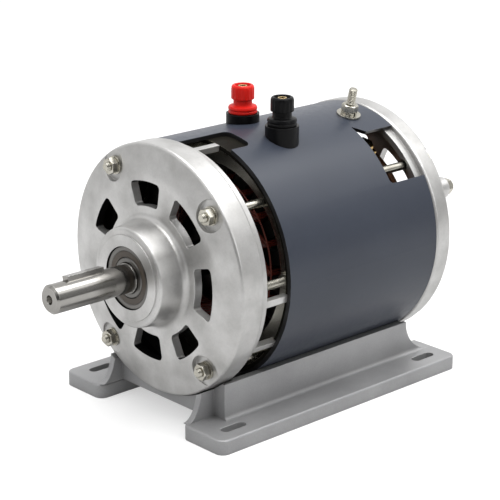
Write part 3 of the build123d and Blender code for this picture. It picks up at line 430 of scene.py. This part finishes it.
slot_count = 18
slot_step = 360 / slot_count
coil_span = 8 * slot_step
wires_in_coil = 7
wire_radius = 0.8
rear_wire_radius = 0.75 * wire_radius
wire_twist = 0.12
wire_looseness = 0.16
riser_radius = 0.7 * MM
lacing_radius = 0.6 * MM
# Radius and place along the shaft of each point of a coil end
front_turn = (
    (55, -36), (55, -43), (55, -49), (52.5, -54), (47, -56.2), (41, -56.2),
    (36, -54), (34, -49.5), (38, -45.5), (46, -43), (46, -36),
)
rear_turn = (
    (55, 36), (55, 43), (54.5, 46.5), (52, 49.4), (47, 50.6), (41, 50.6),
    (36, 49.4), (34.5, 46.8), (38, 44.6), (46, 43), (46, 36),
)
# Lean in degrees, radius and place along the shaft of each point of a riser wire
riser_turn = ((0, 38.6, 49.5), (2, 37.0, 51.2), (5, 32.6, 54.4), (7, 28.2, 57.2), (7.5, 27.0, 58.4))
# Place along the shaft and radius of each ring of lacing
lacing_rings = ((-47.5, 57.2), (-52.0, 56.0), (47.0, 57.0))


def coil_path(stations, start):
    """Points of the middle of a coil end, from its top leg in one slot to its bottom leg in another."""
    inner = len(stations) - 5
    points = []
    for number, (radius, y) in enumerate(stations):
        share = min(1.0, max(0.0, (number - 2) / inner))
        points.append(around(start + share * coil_span, radius, y))
    return points


def wires_about(path, spacing, chance):
    """The wires of one coil, packed round the middle of its path and lying a little loose."""
    runs = []
    for number in range(wires_in_coil):
        distance = 0.0 if number == 0 else 2 * spacing * MM
        first = math.tau * number / (wires_in_coil - 1)
        run = []
        for index, point in enumerate(path):
            ahead = path[min(index + 1, len(path) - 1)] - path[max(index - 1, 0)]
            ahead.normalize()
            away = point - shaft_centre
            away.y = 0
            away = (away - ahead * away.dot(ahead)).normalized()
            beside = ahead.cross(away)
            turn = first + wire_twist * index
            loose = Vector([chance.uniform(-wire_looseness, wire_looseness) for axis in range(3)]) * MM
            run.append(point + (away * math.cos(turn) + beside * math.sin(turn)) * distance + loose)
        runs.append(run)
    return runs


def make_winding():
    chance = random.Random(5)
    front, rear = [], []
    for number in range(slot_count):
        front += wires_about(coil_path(front_turn, number * slot_step), wire_radius, chance)
        rear += wires_about(coil_path(rear_turn, number * slot_step), rear_wire_radius, chance)
    front_wires = wire_shape("front_coil_ends", front, wire_radius * MM, steps=4)
    new_piece("front_coil_ends", front_wires, "rotor", "winding_copper", "armature_winding")
    rear_wires = wire_shape("rear_coil_ends", rear, rear_wire_radius * MM, steps=3, sides=1)
    new_piece("rear_coil_ends", rear_wires, "rotor", "winding_copper")

    risers = []
    for number in range(2 * slot_count):
        angle = number * slot_step / 2 + chance.uniform(-0.6, 0.6)
        risers.append([around(angle + lean, radius, y) for lean, radius, y in riser_turn])
    riser_wires = wire_shape("riser_wires", risers, riser_radius, steps=3, sides=1)
    new_piece("riser_wires", riser_wires, "rotor", "winding_copper")

    lacing = []
    points = 2 * slot_count
    for y, radius in lacing_rings:
        ring = []
        for index in range(points):
            dip = 0.5 * (index % 2)
            ring.append(around(360 * index / points, radius - dip, y + chance.uniform(-0.35, 0.35)))
        lacing.append(ring)
    cord = wire_shape("coil_lacing", lacing, lacing_radius, closed=True, steps=4, sides=1)
    new_piece("coil_lacing", cord, "rotor", "red_fibre")


make_winding()

# ---------------------------------------------------------------- shader building blocks


def add_node(tree, kind, inputs=None, **settings):
    """One shader node. An input is given by name or number, as a value or as the socket that feeds it."""
    made = tree.nodes.new("ShaderNode" + kind)
    for name, value in settings.items():
        setattr(made, name, value)
    for name, value in (inputs or {}).items():
        if isinstance(value, bpy.types.NodeSocket):
            tree.links.new(value, made.inputs[name])
        else:
            made.inputs[name].default_value = value
    return made


def maths(tree, operation, first, second=0.0):
    return add_node(tree, "Math", {0: first, 1: second}, operation=operation).outputs[0]


def vector_maths(tree, operation, first, second=(0, 0, 0)):
    made = add_node(tree, "VectorMath", {0: first, 1: second}, operation=operation)
    return made.outputs["Value" if operation in ("DOT_PRODUCT", "LENGTH") else "Vector"]


def scaled(tree, vector, factor):
    return add_node(tree, "VectorMath", {0: vector, "Scale": factor}, operation="SCALE").outputs["Vector"]


def spread(tree, value, low, high, new_low=0.0, new_high=1.0):
    """Stretches a value from one range to another, held at both ends."""
    ends = {"Value": value, "From Min": low, "From Max": high, "To Min": new_low, "To Max": new_high}
    return add_node(tree, "MapRange", ends).outputs["Result"]


def mixed(tree, factor, first, second):
    """A colour between two colours."""
    return add_node(tree, "Mix", {0: factor, 6: first, 7: second}, data_type="RGBA").outputs[2]


def noise(tree, vector, scale, detail=3.0, roughness=0.5):
    values = {"Vector": vector, "Scale": scale, "Detail": detail, "Roughness": roughness}
    return add_node(tree, "TexNoise", values).outputs[0]


def object_point(tree):
    return add_node(tree, "TexCoord").outputs["Object"]


def new_group(name, inputs, outputs):
    """An empty shader group. Each input has its first value, and each output but Normal is a number."""
    tree = bpy.data.node_groups.new(name, "ShaderNodeTree")
    for socket_name, first_value in inputs.items():
        kind = "NodeSocketFloat" if isinstance(first_value, float) else "NodeSocketVector"
        socket = tree.interface.new_socket(socket_name, in_out="INPUT", socket_type=kind)
        socket.default_value = first_value
    for socket_name in outputs:
        kind = "NodeSocketVector" if socket_name == "Normal" else "NodeSocketFloat"
        tree.interface.new_socket(socket_name, in_out="OUTPUT", socket_type=kind)
    return tree, tree.nodes.new("NodeGroupInput").outputs, tree.nodes.new("NodeGroupOutput").inputs


def place_group(tree, name, inputs):
    made = tree.nodes.new("ShaderNodeGroup")
    made.node_tree = bpy.data.node_groups[name]
    for socket_name, value in inputs.items():
        made.inputs[socket_name].default_value = value
    return made.outputs


# ---------------------------------------------------------------- shared surface effects


def build_worn_edge():
    """Eases hard edges in the light, and finds where handling has rubbed them."""
    inputs = {"Radius": 0.001, "Scale": 90.0, "Amount": 1.0}
    tree, given, made = new_group("worn_edge", inputs, ("Normal", "Mask"))
    eased = add_node(tree, "Bevel", {"Radius": given["Radius"]}, samples=6).outputs["Normal"]
    normal = add_node(tree, "NewGeometry").outputs["Normal"]
    edge = spread(tree, vector_maths(tree, "DOT_PRODUCT", eased, normal), 0.99, 0.8)
    patches = spread(tree, noise(tree, object_point(tree), given["Scale"]), 0.42, 0.62)
    tree.links.new(eased, made["Normal"])
    rubbed = maths(tree, "MULTIPLY", edge, patches)
    tree.links.new(maths(tree, "MULTIPLY", rubbed, given["Amount"]), made["Mask"])


def build_clouding():
    """Slow change of tone over a surface."""
    tree, given, made = new_group("clouding", {"Scale": 20.0}, ("Tone",))
    clouds = noise(tree, object_point(tree), given["Scale"], 4.0)
    tree.links.new(spread(tree, clouds, 0.32, 0.68), made["Tone"])


def build_cast_skin():
    """Fine grain and shallow pits of a cast or blasted surface."""
    tree, given, made = new_group("cast_skin", {"Grain": 900.0}, ("Height", "Streak"))
    point = object_point(tree)
    grain = noise(tree, point, given["Grain"], 3.0, 0.65)
    pit_scale = maths(tree, "MULTIPLY", given["Grain"], 0.4)
    pits = add_node(tree, "TexVoronoi", {"Vector": point, "Scale": pit_scale})
    swell = noise(tree, point, maths(tree, "MULTIPLY", given["Grain"], 0.06), 2.0)
    height = maths(tree, "ADD", maths(tree, "MULTIPLY", grain, 0.5), maths(tree, "MULTIPLY", swell, 0.8))
    height = maths(tree, "ADD", height, maths(tree, "MULTIPLY", pits.outputs["Distance"], 0.35))
    tree.links.new(height, made["Height"])
    tree.links.new(spread(tree, grain, 0.3, 0.7), made["Streak"])


def build_lathe_marks():
    """Rings left by turning or grinding about an axis."""
    inputs = {"Axis": (0.0, 1.0, 0.0), "Centre": (0.0, 0.0, 0.1), "Grain": 2500.0}
    tree, given, made = new_group("lathe_marks", inputs, ("Height", "Streak"))
    from_centre = vector_maths(tree, "SUBTRACT", object_point(tree), given["Centre"])
    along = vector_maths(tree, "DOT_PRODUCT", from_centre, given["Axis"])
    from_axis = vector_maths(tree, "SUBTRACT", from_centre, scaled(tree, given["Axis"], along))
    radius = vector_maths(tree, "LENGTH", from_axis)
    station = add_node(tree, "CombineXYZ", {"X": along, "Y": radius}).outputs["Vector"]
    drift = scaled(tree, from_centre, 0.004)
    rings = noise(tree, vector_maths(tree, "ADD", station, drift), given["Grain"], 4.0, 0.7)
    tree.links.new(rings, made["Height"])
    tree.links.new(spread(tree, rings, 0.3, 0.7), made["Streak"])


def build_drawn_marks():
    """Fine lines along the direction in which a bar or strip was drawn."""
    inputs = {"Axis": (0.0, 1.0, 0.0), "Centre": (0.0, 0.0, 0.1), "Grain": 2500.0}
    tree, given, made = new_group("drawn_marks", inputs, ("Height", "Streak"))
    from_centre = vector_maths(tree, "SUBTRACT", object_point(tree), given["Centre"])
    along = vector_maths(tree, "DOT_PRODUCT", from_centre, given["Axis"])
    squeezed = scaled(tree, given["Axis"], maths(tree, "MULTIPLY", along, -0.97))
    lines = noise(tree, vector_maths(tree, "ADD", from_centre, squeezed), given["Grain"], 3.0, 0.6)
    tree.links.new(lines, made["Height"])
    tree.links.new(spread(tree, lines, 0.3, 0.7), made["Streak"])


def build_corner_shade_and_grime():
    """Painted shade in corners and crevices, found by ambient occlusion, in patches like dust and old oil."""
    tree, given, made = new_group("corner_shade_and_grime", {"Reach": 0.006, "Amount": 0.5}, ("Mask",))
    open_sky = add_node(tree, "AmbientOcclusion", {"Distance": given["Reach"]}, samples=4).outputs["AO"]
    shut_in = spread(tree, open_sky, 0.85, 0.25)
    patches = spread(tree, noise(tree, object_point(tree), 160.0, 4.0), 0.25, 0.7, 0.35, 1.0)
    shade_and_grime_mask = maths(tree, "MULTIPLY", shut_in, patches)
    tree.links.new(maths(tree, "MULTIPLY", shade_and_grime_mask, given["Amount"]), made["Mask"])


def build_painted_inner_shade():
    """Painted shade: finds surfaces within a radius of the shaft, or facing it, which take the dark inner
    colour as painted shade.
    """
    inputs = {"Centre": (0.0, 0.0, 0.1), "Radius": 0.01}
    tree, given, made = new_group("painted_inner_shade", inputs, ("Mask",))
    from_centre = vector_maths(tree, "SUBTRACT", object_point(tree), given["Centre"])
    from_shaft = vector_maths(tree, "MULTIPLY", from_centre, (1, 0, 1))
    radius = vector_maths(tree, "LENGTH", from_shaft)
    inside = spread(tree, maths(tree, "SUBTRACT", given["Radius"], radius), 0.1 * MM, 0.4 * MM)
    normal = add_node(tree, "NewGeometry").outputs["Normal"]
    away = vector_maths(tree, "DOT_PRODUCT", vector_maths(tree, "NORMALIZE", from_shaft), normal)
    facing_in = spread(tree, away, -0.5, -0.8)
    tree.links.new(maths(tree, "MAXIMUM", facing_in, inside), made["Mask"])


def build_sheet_edges():
    """Edges of thin sheets stacked along the shaft."""
    tree, given, made = new_group("sheet_edges", {"Grain": 2000.0}, ("Height", "Streak"))
    point = object_point(tree)
    along = vector_maths(tree, "DOT_PRODUCT", point, (0, 1, 0))
    sheet = maths(tree, "FRACT", maths(tree, "MULTIPLY", along, given["Grain"]))
    from_middle = maths(tree, "ABSOLUTE", maths(tree, "SUBTRACT", sheet, 0.5))
    number = maths(tree, "FLOOR", maths(tree, "MULTIPLY", along, given["Grain"]))
    tone = add_node(tree, "TexWhiteNoise", {"W": number}, noise_dimensions="1D").outputs["Value"]
    tree.links.new(spread(tree, from_middle, 0.5, 0.3), made["Height"])
    tree.links.new(tone, made["Streak"])


for build_effect in (
    build_worn_edge,
    build_clouding,
    build_cast_skin,
    build_lathe_marks,
    build_drawn_marks,
    build_corner_shade_and_grime,
    build_painted_inner_shade,
    build_sheet_edges,
):
    build_effect()

# ---------------------------------------------------------------- finishes

# Colour of the painted shade, with grime, in corners and between parts
shade_and_grime_colour = (0.035, 0.030, 0.024, 1)
# Near-black colour painted as shade on inner surfaces
inner_shade_colour = (0.012, 0.012, 0.013, 1)


def make_finish(
    name,
    colour,
    shade,
    rough,
    metallic=0.0,
    marks="cast_skin",
    grain=900.0,
    depth=0.02 * MM,
    mark_tone=0.1,
    centre=None,
    axis=None,
    clouds=25.0,
    edge_radius=0.5 * MM,
    worn=None,
    wear=0.0,
    shade_and_grime=0.35,
    shade_and_grime_reach=5 * MM,
    coat=0.0,
    coat_rough=0.1,
    specular=0.5,
    inner_shade_radius=None,
):
    """A finish of two tones with its surface marks, eased and rubbed edges, and painted shade with grime in
    its corners.

    Given a radius for the inner shade, surfaces within it or facing the shaft take the near-black inner
    colour as painted shade.
    """
    material = bpy.data.materials.new(name)
    material.use_nodes = True
    tree = material.node_tree
    surface = tree.nodes["Principled BSDF"]
    mark_inputs = {"Grain": grain}
    if centre is not None:
        mark_inputs["Centre"] = centre
    if axis is not None:
        mark_inputs["Axis"] = axis
    mark = place_group(tree, marks, mark_inputs)
    cloud = place_group(tree, "clouding", {"Scale": clouds})["Tone"]
    edge = place_group(tree, "worn_edge", {"Radius": edge_radius, "Amount": wear})
    # Painted shade in corners and between parts, in patches like grime: it darkens the colour and roughens
    # the surface
    shade_and_dirt = place_group(tree, "corner_shade_and_grime", {"Reach": shade_and_grime_reach, "Amount": shade_and_grime})["Mask"]

    tone = mixed(tree, cloud, (*colour, 1), (*shade, 1))
    darker = mixed(tree, mark_tone, tone, (0, 0, 0, 1))
    tone = mixed(tree, mark["Streak"], darker, tone)
    if worn is not None:
        tone = mixed(tree, edge["Mask"], tone, (*worn, 1))
    # Painted shade: surfaces inside the given radius, or facing the shaft, take the near-black inner colour
    if inner_shade_radius is not None:
        inner = {"Centre": shaft_centre, "Radius": inner_shade_radius}
        tone = mixed(tree, place_group(tree, "painted_inner_shade", inner)["Mask"], tone, inner_shade_colour)
    # The painted shade and grime darken the colour in corners
    tone = mixed(tree, shade_and_dirt, tone, shade_and_grime_colour)
    tree.links.new(tone, surface.inputs["Base Color"])

    from_marks = spread(tree, mark["Streak"], 0, 1, -0.12, 0.12)
    from_clouds = spread(tree, cloud, 0, 1, -0.08, 0.08)
    gloss = maths(tree, "ADD", from_marks, from_clouds)
    gloss = maths(tree, "ADD", gloss, maths(tree, "MULTIPLY", shade_and_dirt, 0.6))
    gloss = maths(tree, "MULTIPLY", maths(tree, "ADD", gloss, 1.0), rough)
    held = add_node(tree, "Clamp", {"Value": gloss, "Max": 1.0}).outputs[0]
    tree.links.new(held, surface.inputs["Roughness"])

    bump = add_node(tree, "Bump", {"Distance": depth, "Height": mark["Height"], "Normal": edge["Normal"]})
    tree.links.new(bump.outputs["Normal"], surface.inputs["Normal"])
    surface.inputs["Metallic"].default_value = metallic
    surface.inputs["Coat Weight"].default_value = coat
    surface.inputs["Coat Roughness"].default_value = coat_rough
    surface.inputs["Specular IOR Level"].default_value = specular
    return material


bright_metal = (0.80, 0.80, 0.79)
shaft_turning = {"marks": "lathe_marks", "centre": shaft_centre, "axis": shaft_line}
finishes = {
    "base_casting": make_finish(
        "base_casting", (0.40, 0.40, 0.405), (0.32, 0.32, 0.325), 0.42, metallic=0.4,
        grain=1100.0, depth=0.04 * MM, mark_tone=0.12, edge_radius=0.8 * MM, worn=bright_metal, wear=0.5,
    ),
    "housing_paint": make_finish(
        "housing_paint", (0.037, 0.044, 0.061), (0.031, 0.037, 0.052), 0.36,
        grain=260.0, depth=0.02 * MM, mark_tone=0.04, edge_radius=0.35 * MM,
        worn=(0.30, 0.31, 0.33), wear=0.6, shade_and_grime=0.2, coat=0.1, coat_rough=0.2, specular=0.3, clouds=12.0,
        # the inside of the casing is painted in shade
        inner_shade_radius=housing_radius,
    ),
    "bell_casting": make_finish(
        "bell_casting", (0.62, 0.615, 0.605), (0.43, 0.425, 0.415), 0.36, metallic=0.8,
        grain=700.0, depth=0.03 * MM, mark_tone=0.09, edge_radius=0.7 * MM, worn=bright_metal, wear=0.6,
        clouds=45.0,
        # bell surfaces facing the shaft are painted in shade
        inner_shade_radius=0.0,
    ),
    # Near-black as painted shade inside the casing; only its rubbed edges show the olive steel
    "liner_steel": make_finish(
        "liner_steel", (0.012, 0.011, 0.008), (0.007, 0.0065, 0.005), 0.5, marks="drawn_marks",
        grain=1800.0, worn=(0.32, 0.30, 0.23), wear=0.9, edge_radius=0.5 * MM, specular=0.05,
    ),
    "magnet_ferrite": make_finish(
        "magnet_ferrite", (0.020, 0.020, 0.023), (0.013, 0.013, 0.015), 0.62, specular=0.2,
        grain=1500.0, depth=0.05 * MM,
    ),
    "zinc_steel": make_finish(
        "zinc_steel", (0.62, 0.60, 0.53), (0.46, 0.44, 0.38), 0.24, metallic=1.0,
        grain=2200.0, depth=0.008 * MM, edge_radius=0.3 * MM, worn=bright_metal, wear=0.6, clouds=70.0,
    ),
    "shaft_steel": make_finish(
        "shaft_steel", (0.40, 0.39, 0.37), (0.26, 0.25, 0.235), 0.16, metallic=1.0, **shaft_turning,
        grain=5200.0, depth=0.004 * MM, mark_tone=0.12, edge_radius=0.3 * MM, worn=bright_metal, wear=0.7,
        shade_and_grime=0.15,
    ),
    "lamination_steel": make_finish(
        "lamination_steel", (0.12, 0.115, 0.11), (0.07, 0.06, 0.05), 0.45, metallic=0.8, marks="sheet_edges",
        grain=2000.0, depth=0.08 * MM, mark_tone=0.45,
    ),
    # Strong painted shade, with grime, in the gaps between the wires
    "winding_copper": make_finish(
        "winding_copper", (0.20, 0.030, 0.016), (0.085, 0.013, 0.008), 0.26, metallic=0.35,
        grain=1500.0, depth=0.01 * MM, coat=0.5, coat_rough=0.12, clouds=140.0, shade_and_grime=0.8, shade_and_grime_reach=4 * MM,
    ),
    "red_fibre": make_finish(
        "red_fibre", (0.22, 0.050, 0.032), (0.15, 0.034, 0.022), 0.55, grain=1300.0, depth=0.03 * MM,
    ),
    "phenolic": make_finish(
        "phenolic", (0.12, 0.052, 0.024), (0.08, 0.036, 0.017), 0.38, grain=700.0, coat=0.2,
    ),
    "commutator_copper": make_finish(
        "commutator_copper", (0.72, 0.36, 0.21), (0.46, 0.20, 0.11), 0.24, metallic=1.0, **shaft_turning,
        grain=4000.0, mark_tone=0.25, shade_and_grime=0.5, clouds=90.0,
    ),
    "bearing_steel": make_finish(
        "bearing_steel", (0.20, 0.195, 0.185), (0.13, 0.125, 0.12), 0.3, metallic=1.0, **shaft_turning,
        grain=5200.0, depth=0.003 * MM,
    ),
    "bearing_cage": make_finish(
        "bearing_cage", (0.50, 0.48, 0.45), (0.42, 0.40, 0.37), 0.3, metallic=1.0,
        grain=2500.0, depth=0.006 * MM,
    ),
    "bearing_seal": make_finish(
        "bearing_seal", (0.085, 0.066, 0.05), (0.06, 0.048, 0.036), 0.5, **shaft_turning, grain=2200.0,
    ),
    "carbon": make_finish(
        "carbon", (0.032, 0.032, 0.034), (0.022, 0.022, 0.023), 0.42, grain=2600.0, depth=0.02 * MM,
    ),
    "brass": make_finish(
        "brass", (0.74, 0.54, 0.23), (0.60, 0.40, 0.15), 0.22, metallic=1.0,
        grain=2400.0, depth=0.006 * MM, clouds=110.0,
    ),
    "red_plastic": make_finish(
        "red_plastic", (0.72, 0.012, 0.007), (0.60, 0.009, 0.005), 0.36,
        grain=1600.0, depth=0.006 * MM, mark_tone=0.03, specular=0.2, shade_and_grime=0.25,
    ),
    "black_plastic": make_finish(
        "black_plastic", (0.0035, 0.0035, 0.004), (0.0022, 0.0022, 0.0025), 0.34,
        grain=1600.0, depth=0.006 * MM, specular=0.14,
        worn=(0.06, 0.06, 0.06), wear=0.5, shade_and_grime=0.1,
    ),
    "lead_insulation_red": make_finish(
        "lead_insulation_red", (0.34, 0.016, 0.012), (0.26, 0.012, 0.010), 0.45, grain=1600.0,
    ),
    "lead_insulation_black": make_finish(
        "lead_insulation_black", (0.012, 0.012, 0.013), (0.008, 0.008, 0.009), 0.42, grain=1600.0,
    ),
}

# The plug sockets in the caps, their brass darkened nearly to black and dulled as painted shade in the holes
shaded_socket_brass = make_finish(
    "shaded_socket_brass", (0.030, 0.018, 0.008), (0.016, 0.010, 0.005), 0.5, metallic=0.3, specular=0.1,
    grain=2400.0, depth=0.006 * MM,
)

for subpart in frame["record"]["subparts"]:
    shown = frame["nodes"][subpart["node"]]
    shown.data.materials.clear()
    shown.data.materials.append(finishes[subpart["material_slot"]])
for piece, slot in made_pieces:
    piece.data.materials.append(finishes[slot])
for insert in ("positive_cap_insert", "negative_cap_insert"):
    frame["nodes"][insert].data.materials[0] = shaded_socket_brass

# ---------------------------------------------------------------- studio


floor_reach = 4.0
backdrop_side = (-0.734, 0.679, 0.0)
lamp_target = (0, 0, 0.1)
# Place, width, height and power of each lamp
lamps = {
    "overhead": ((0.15, 0.1, 1.5), 1.4, 1.4, 26),
    "front_fill": ((-0.5, -1.6, 0.9), 1.2, 1.0, 5),
    "right_fill": ((1.7, 0.3, 0.8), 1.0, 1.0, 5),
    "back_light": ((0.53, 1.1, 1.3), 1.2, 1.0, 4.5),
}


def make_floor():
    size = floor_reach
    corners = [(-size, -size, 0), (size, -size, 0), (size, size, 0), (-size, size, 0)]
    mesh = bpy.data.meshes.new("studio_floor")
    mesh.from_pydata(corners, [], [(0, 1, 2, 3)])
    floor = bpy.data.objects.new("studio_floor", mesh)
    bpy.context.scene.collection.objects.link(floor)
    material = bpy.data.materials.new("studio_floor")
    material.use_nodes = True
    tree = material.node_tree
    tree.nodes.remove(tree.nodes["Principled BSDF"])
    path = add_node(tree, "LightPath").outputs
    looked_at = maths(tree, "MAXIMUM", path["Is Camera Ray"], path["Is Transmission Ray"])
    seen = maths(tree, "MAXIMUM", looked_at, path["Is Glossy Ray"])
    paper = add_node(tree, "BsdfDiffuse", {"Color": (0.60, 0.60, 0.60, 1)}).outputs[0]
    half_paper = add_node(tree, "BsdfDiffuse", {"Color": (0.50, 0.50, 0.50, 1)}).outputs[0]
    strength = spread(tree, looked_at, 0.0, 1.0, 0.20, 0.52)
    glow = add_node(tree, "Emission", {"Color": (1, 1, 1, 1), "Strength": strength}).outputs[0]
    lifted = add_node(tree, "AddShader", {0: half_paper, 1: glow}).outputs[0]
    joined = add_node(tree, "MixShader", {0: seen, 1: paper, 2: lifted}).outputs[0]
    tree.links.new(joined, tree.nodes["Material Output"].inputs["Surface"])
    mesh.materials.append(material)


def make_world():
    """White where the eye sees past the object, and overhead; darker elsewhere, so that metal has form."""
    world = bpy.data.worlds.new("studio")
    bpy.context.scene.world = world
    world.use_nodes = True
    tree = world.node_tree
    path = add_node(tree, "LightPath").outputs
    direction = add_node(tree, "TexCoord").outputs["Generated"]
    backdrop = tree.nodes["Background"]
    backdrop.inputs["Color"].default_value = (1, 1, 1, 1)
    behind = spread(tree, vector_maths(tree, "DOT_PRODUCT", direction, backdrop_side), -0.35, 0.45)
    above = spread(tree, vector_maths(tree, "DOT_PRODUCT", direction, (0.0, 0.0, 1.0)), 0.35, 0.8)
    level = spread(tree, maths(tree, "MAXIMUM", behind, above), 0.0, 1.0, 0.12, 0.95)
    seen = maths(tree, "MAXIMUM", path["Is Camera Ray"], path["Is Transmission Ray"])
    tree.links.new(maths(tree, "MAXIMUM", seen, level), backdrop.inputs["Strength"])


def make_lamp(name, place, width, height, power):
    data = bpy.data.lights.new(name, "AREA")
    data.shape = "RECTANGLE"
    data.size, data.size_y, data.energy = width, height, power
    lamp = bpy.data.objects.new(name, data)
    bpy.context.scene.collection.objects.link(lamp)
    lamp.location = place
    lamp.rotation_euler = (Vector(lamp_target) - Vector(place)).to_track_quat("-Z", "Y").to_euler()


make_floor()
make_world()
for lamp_name, setting in lamps.items():
    make_lamp(lamp_name, *setting)
bpy.context.scene.view_settings.view_transform = "Standard"
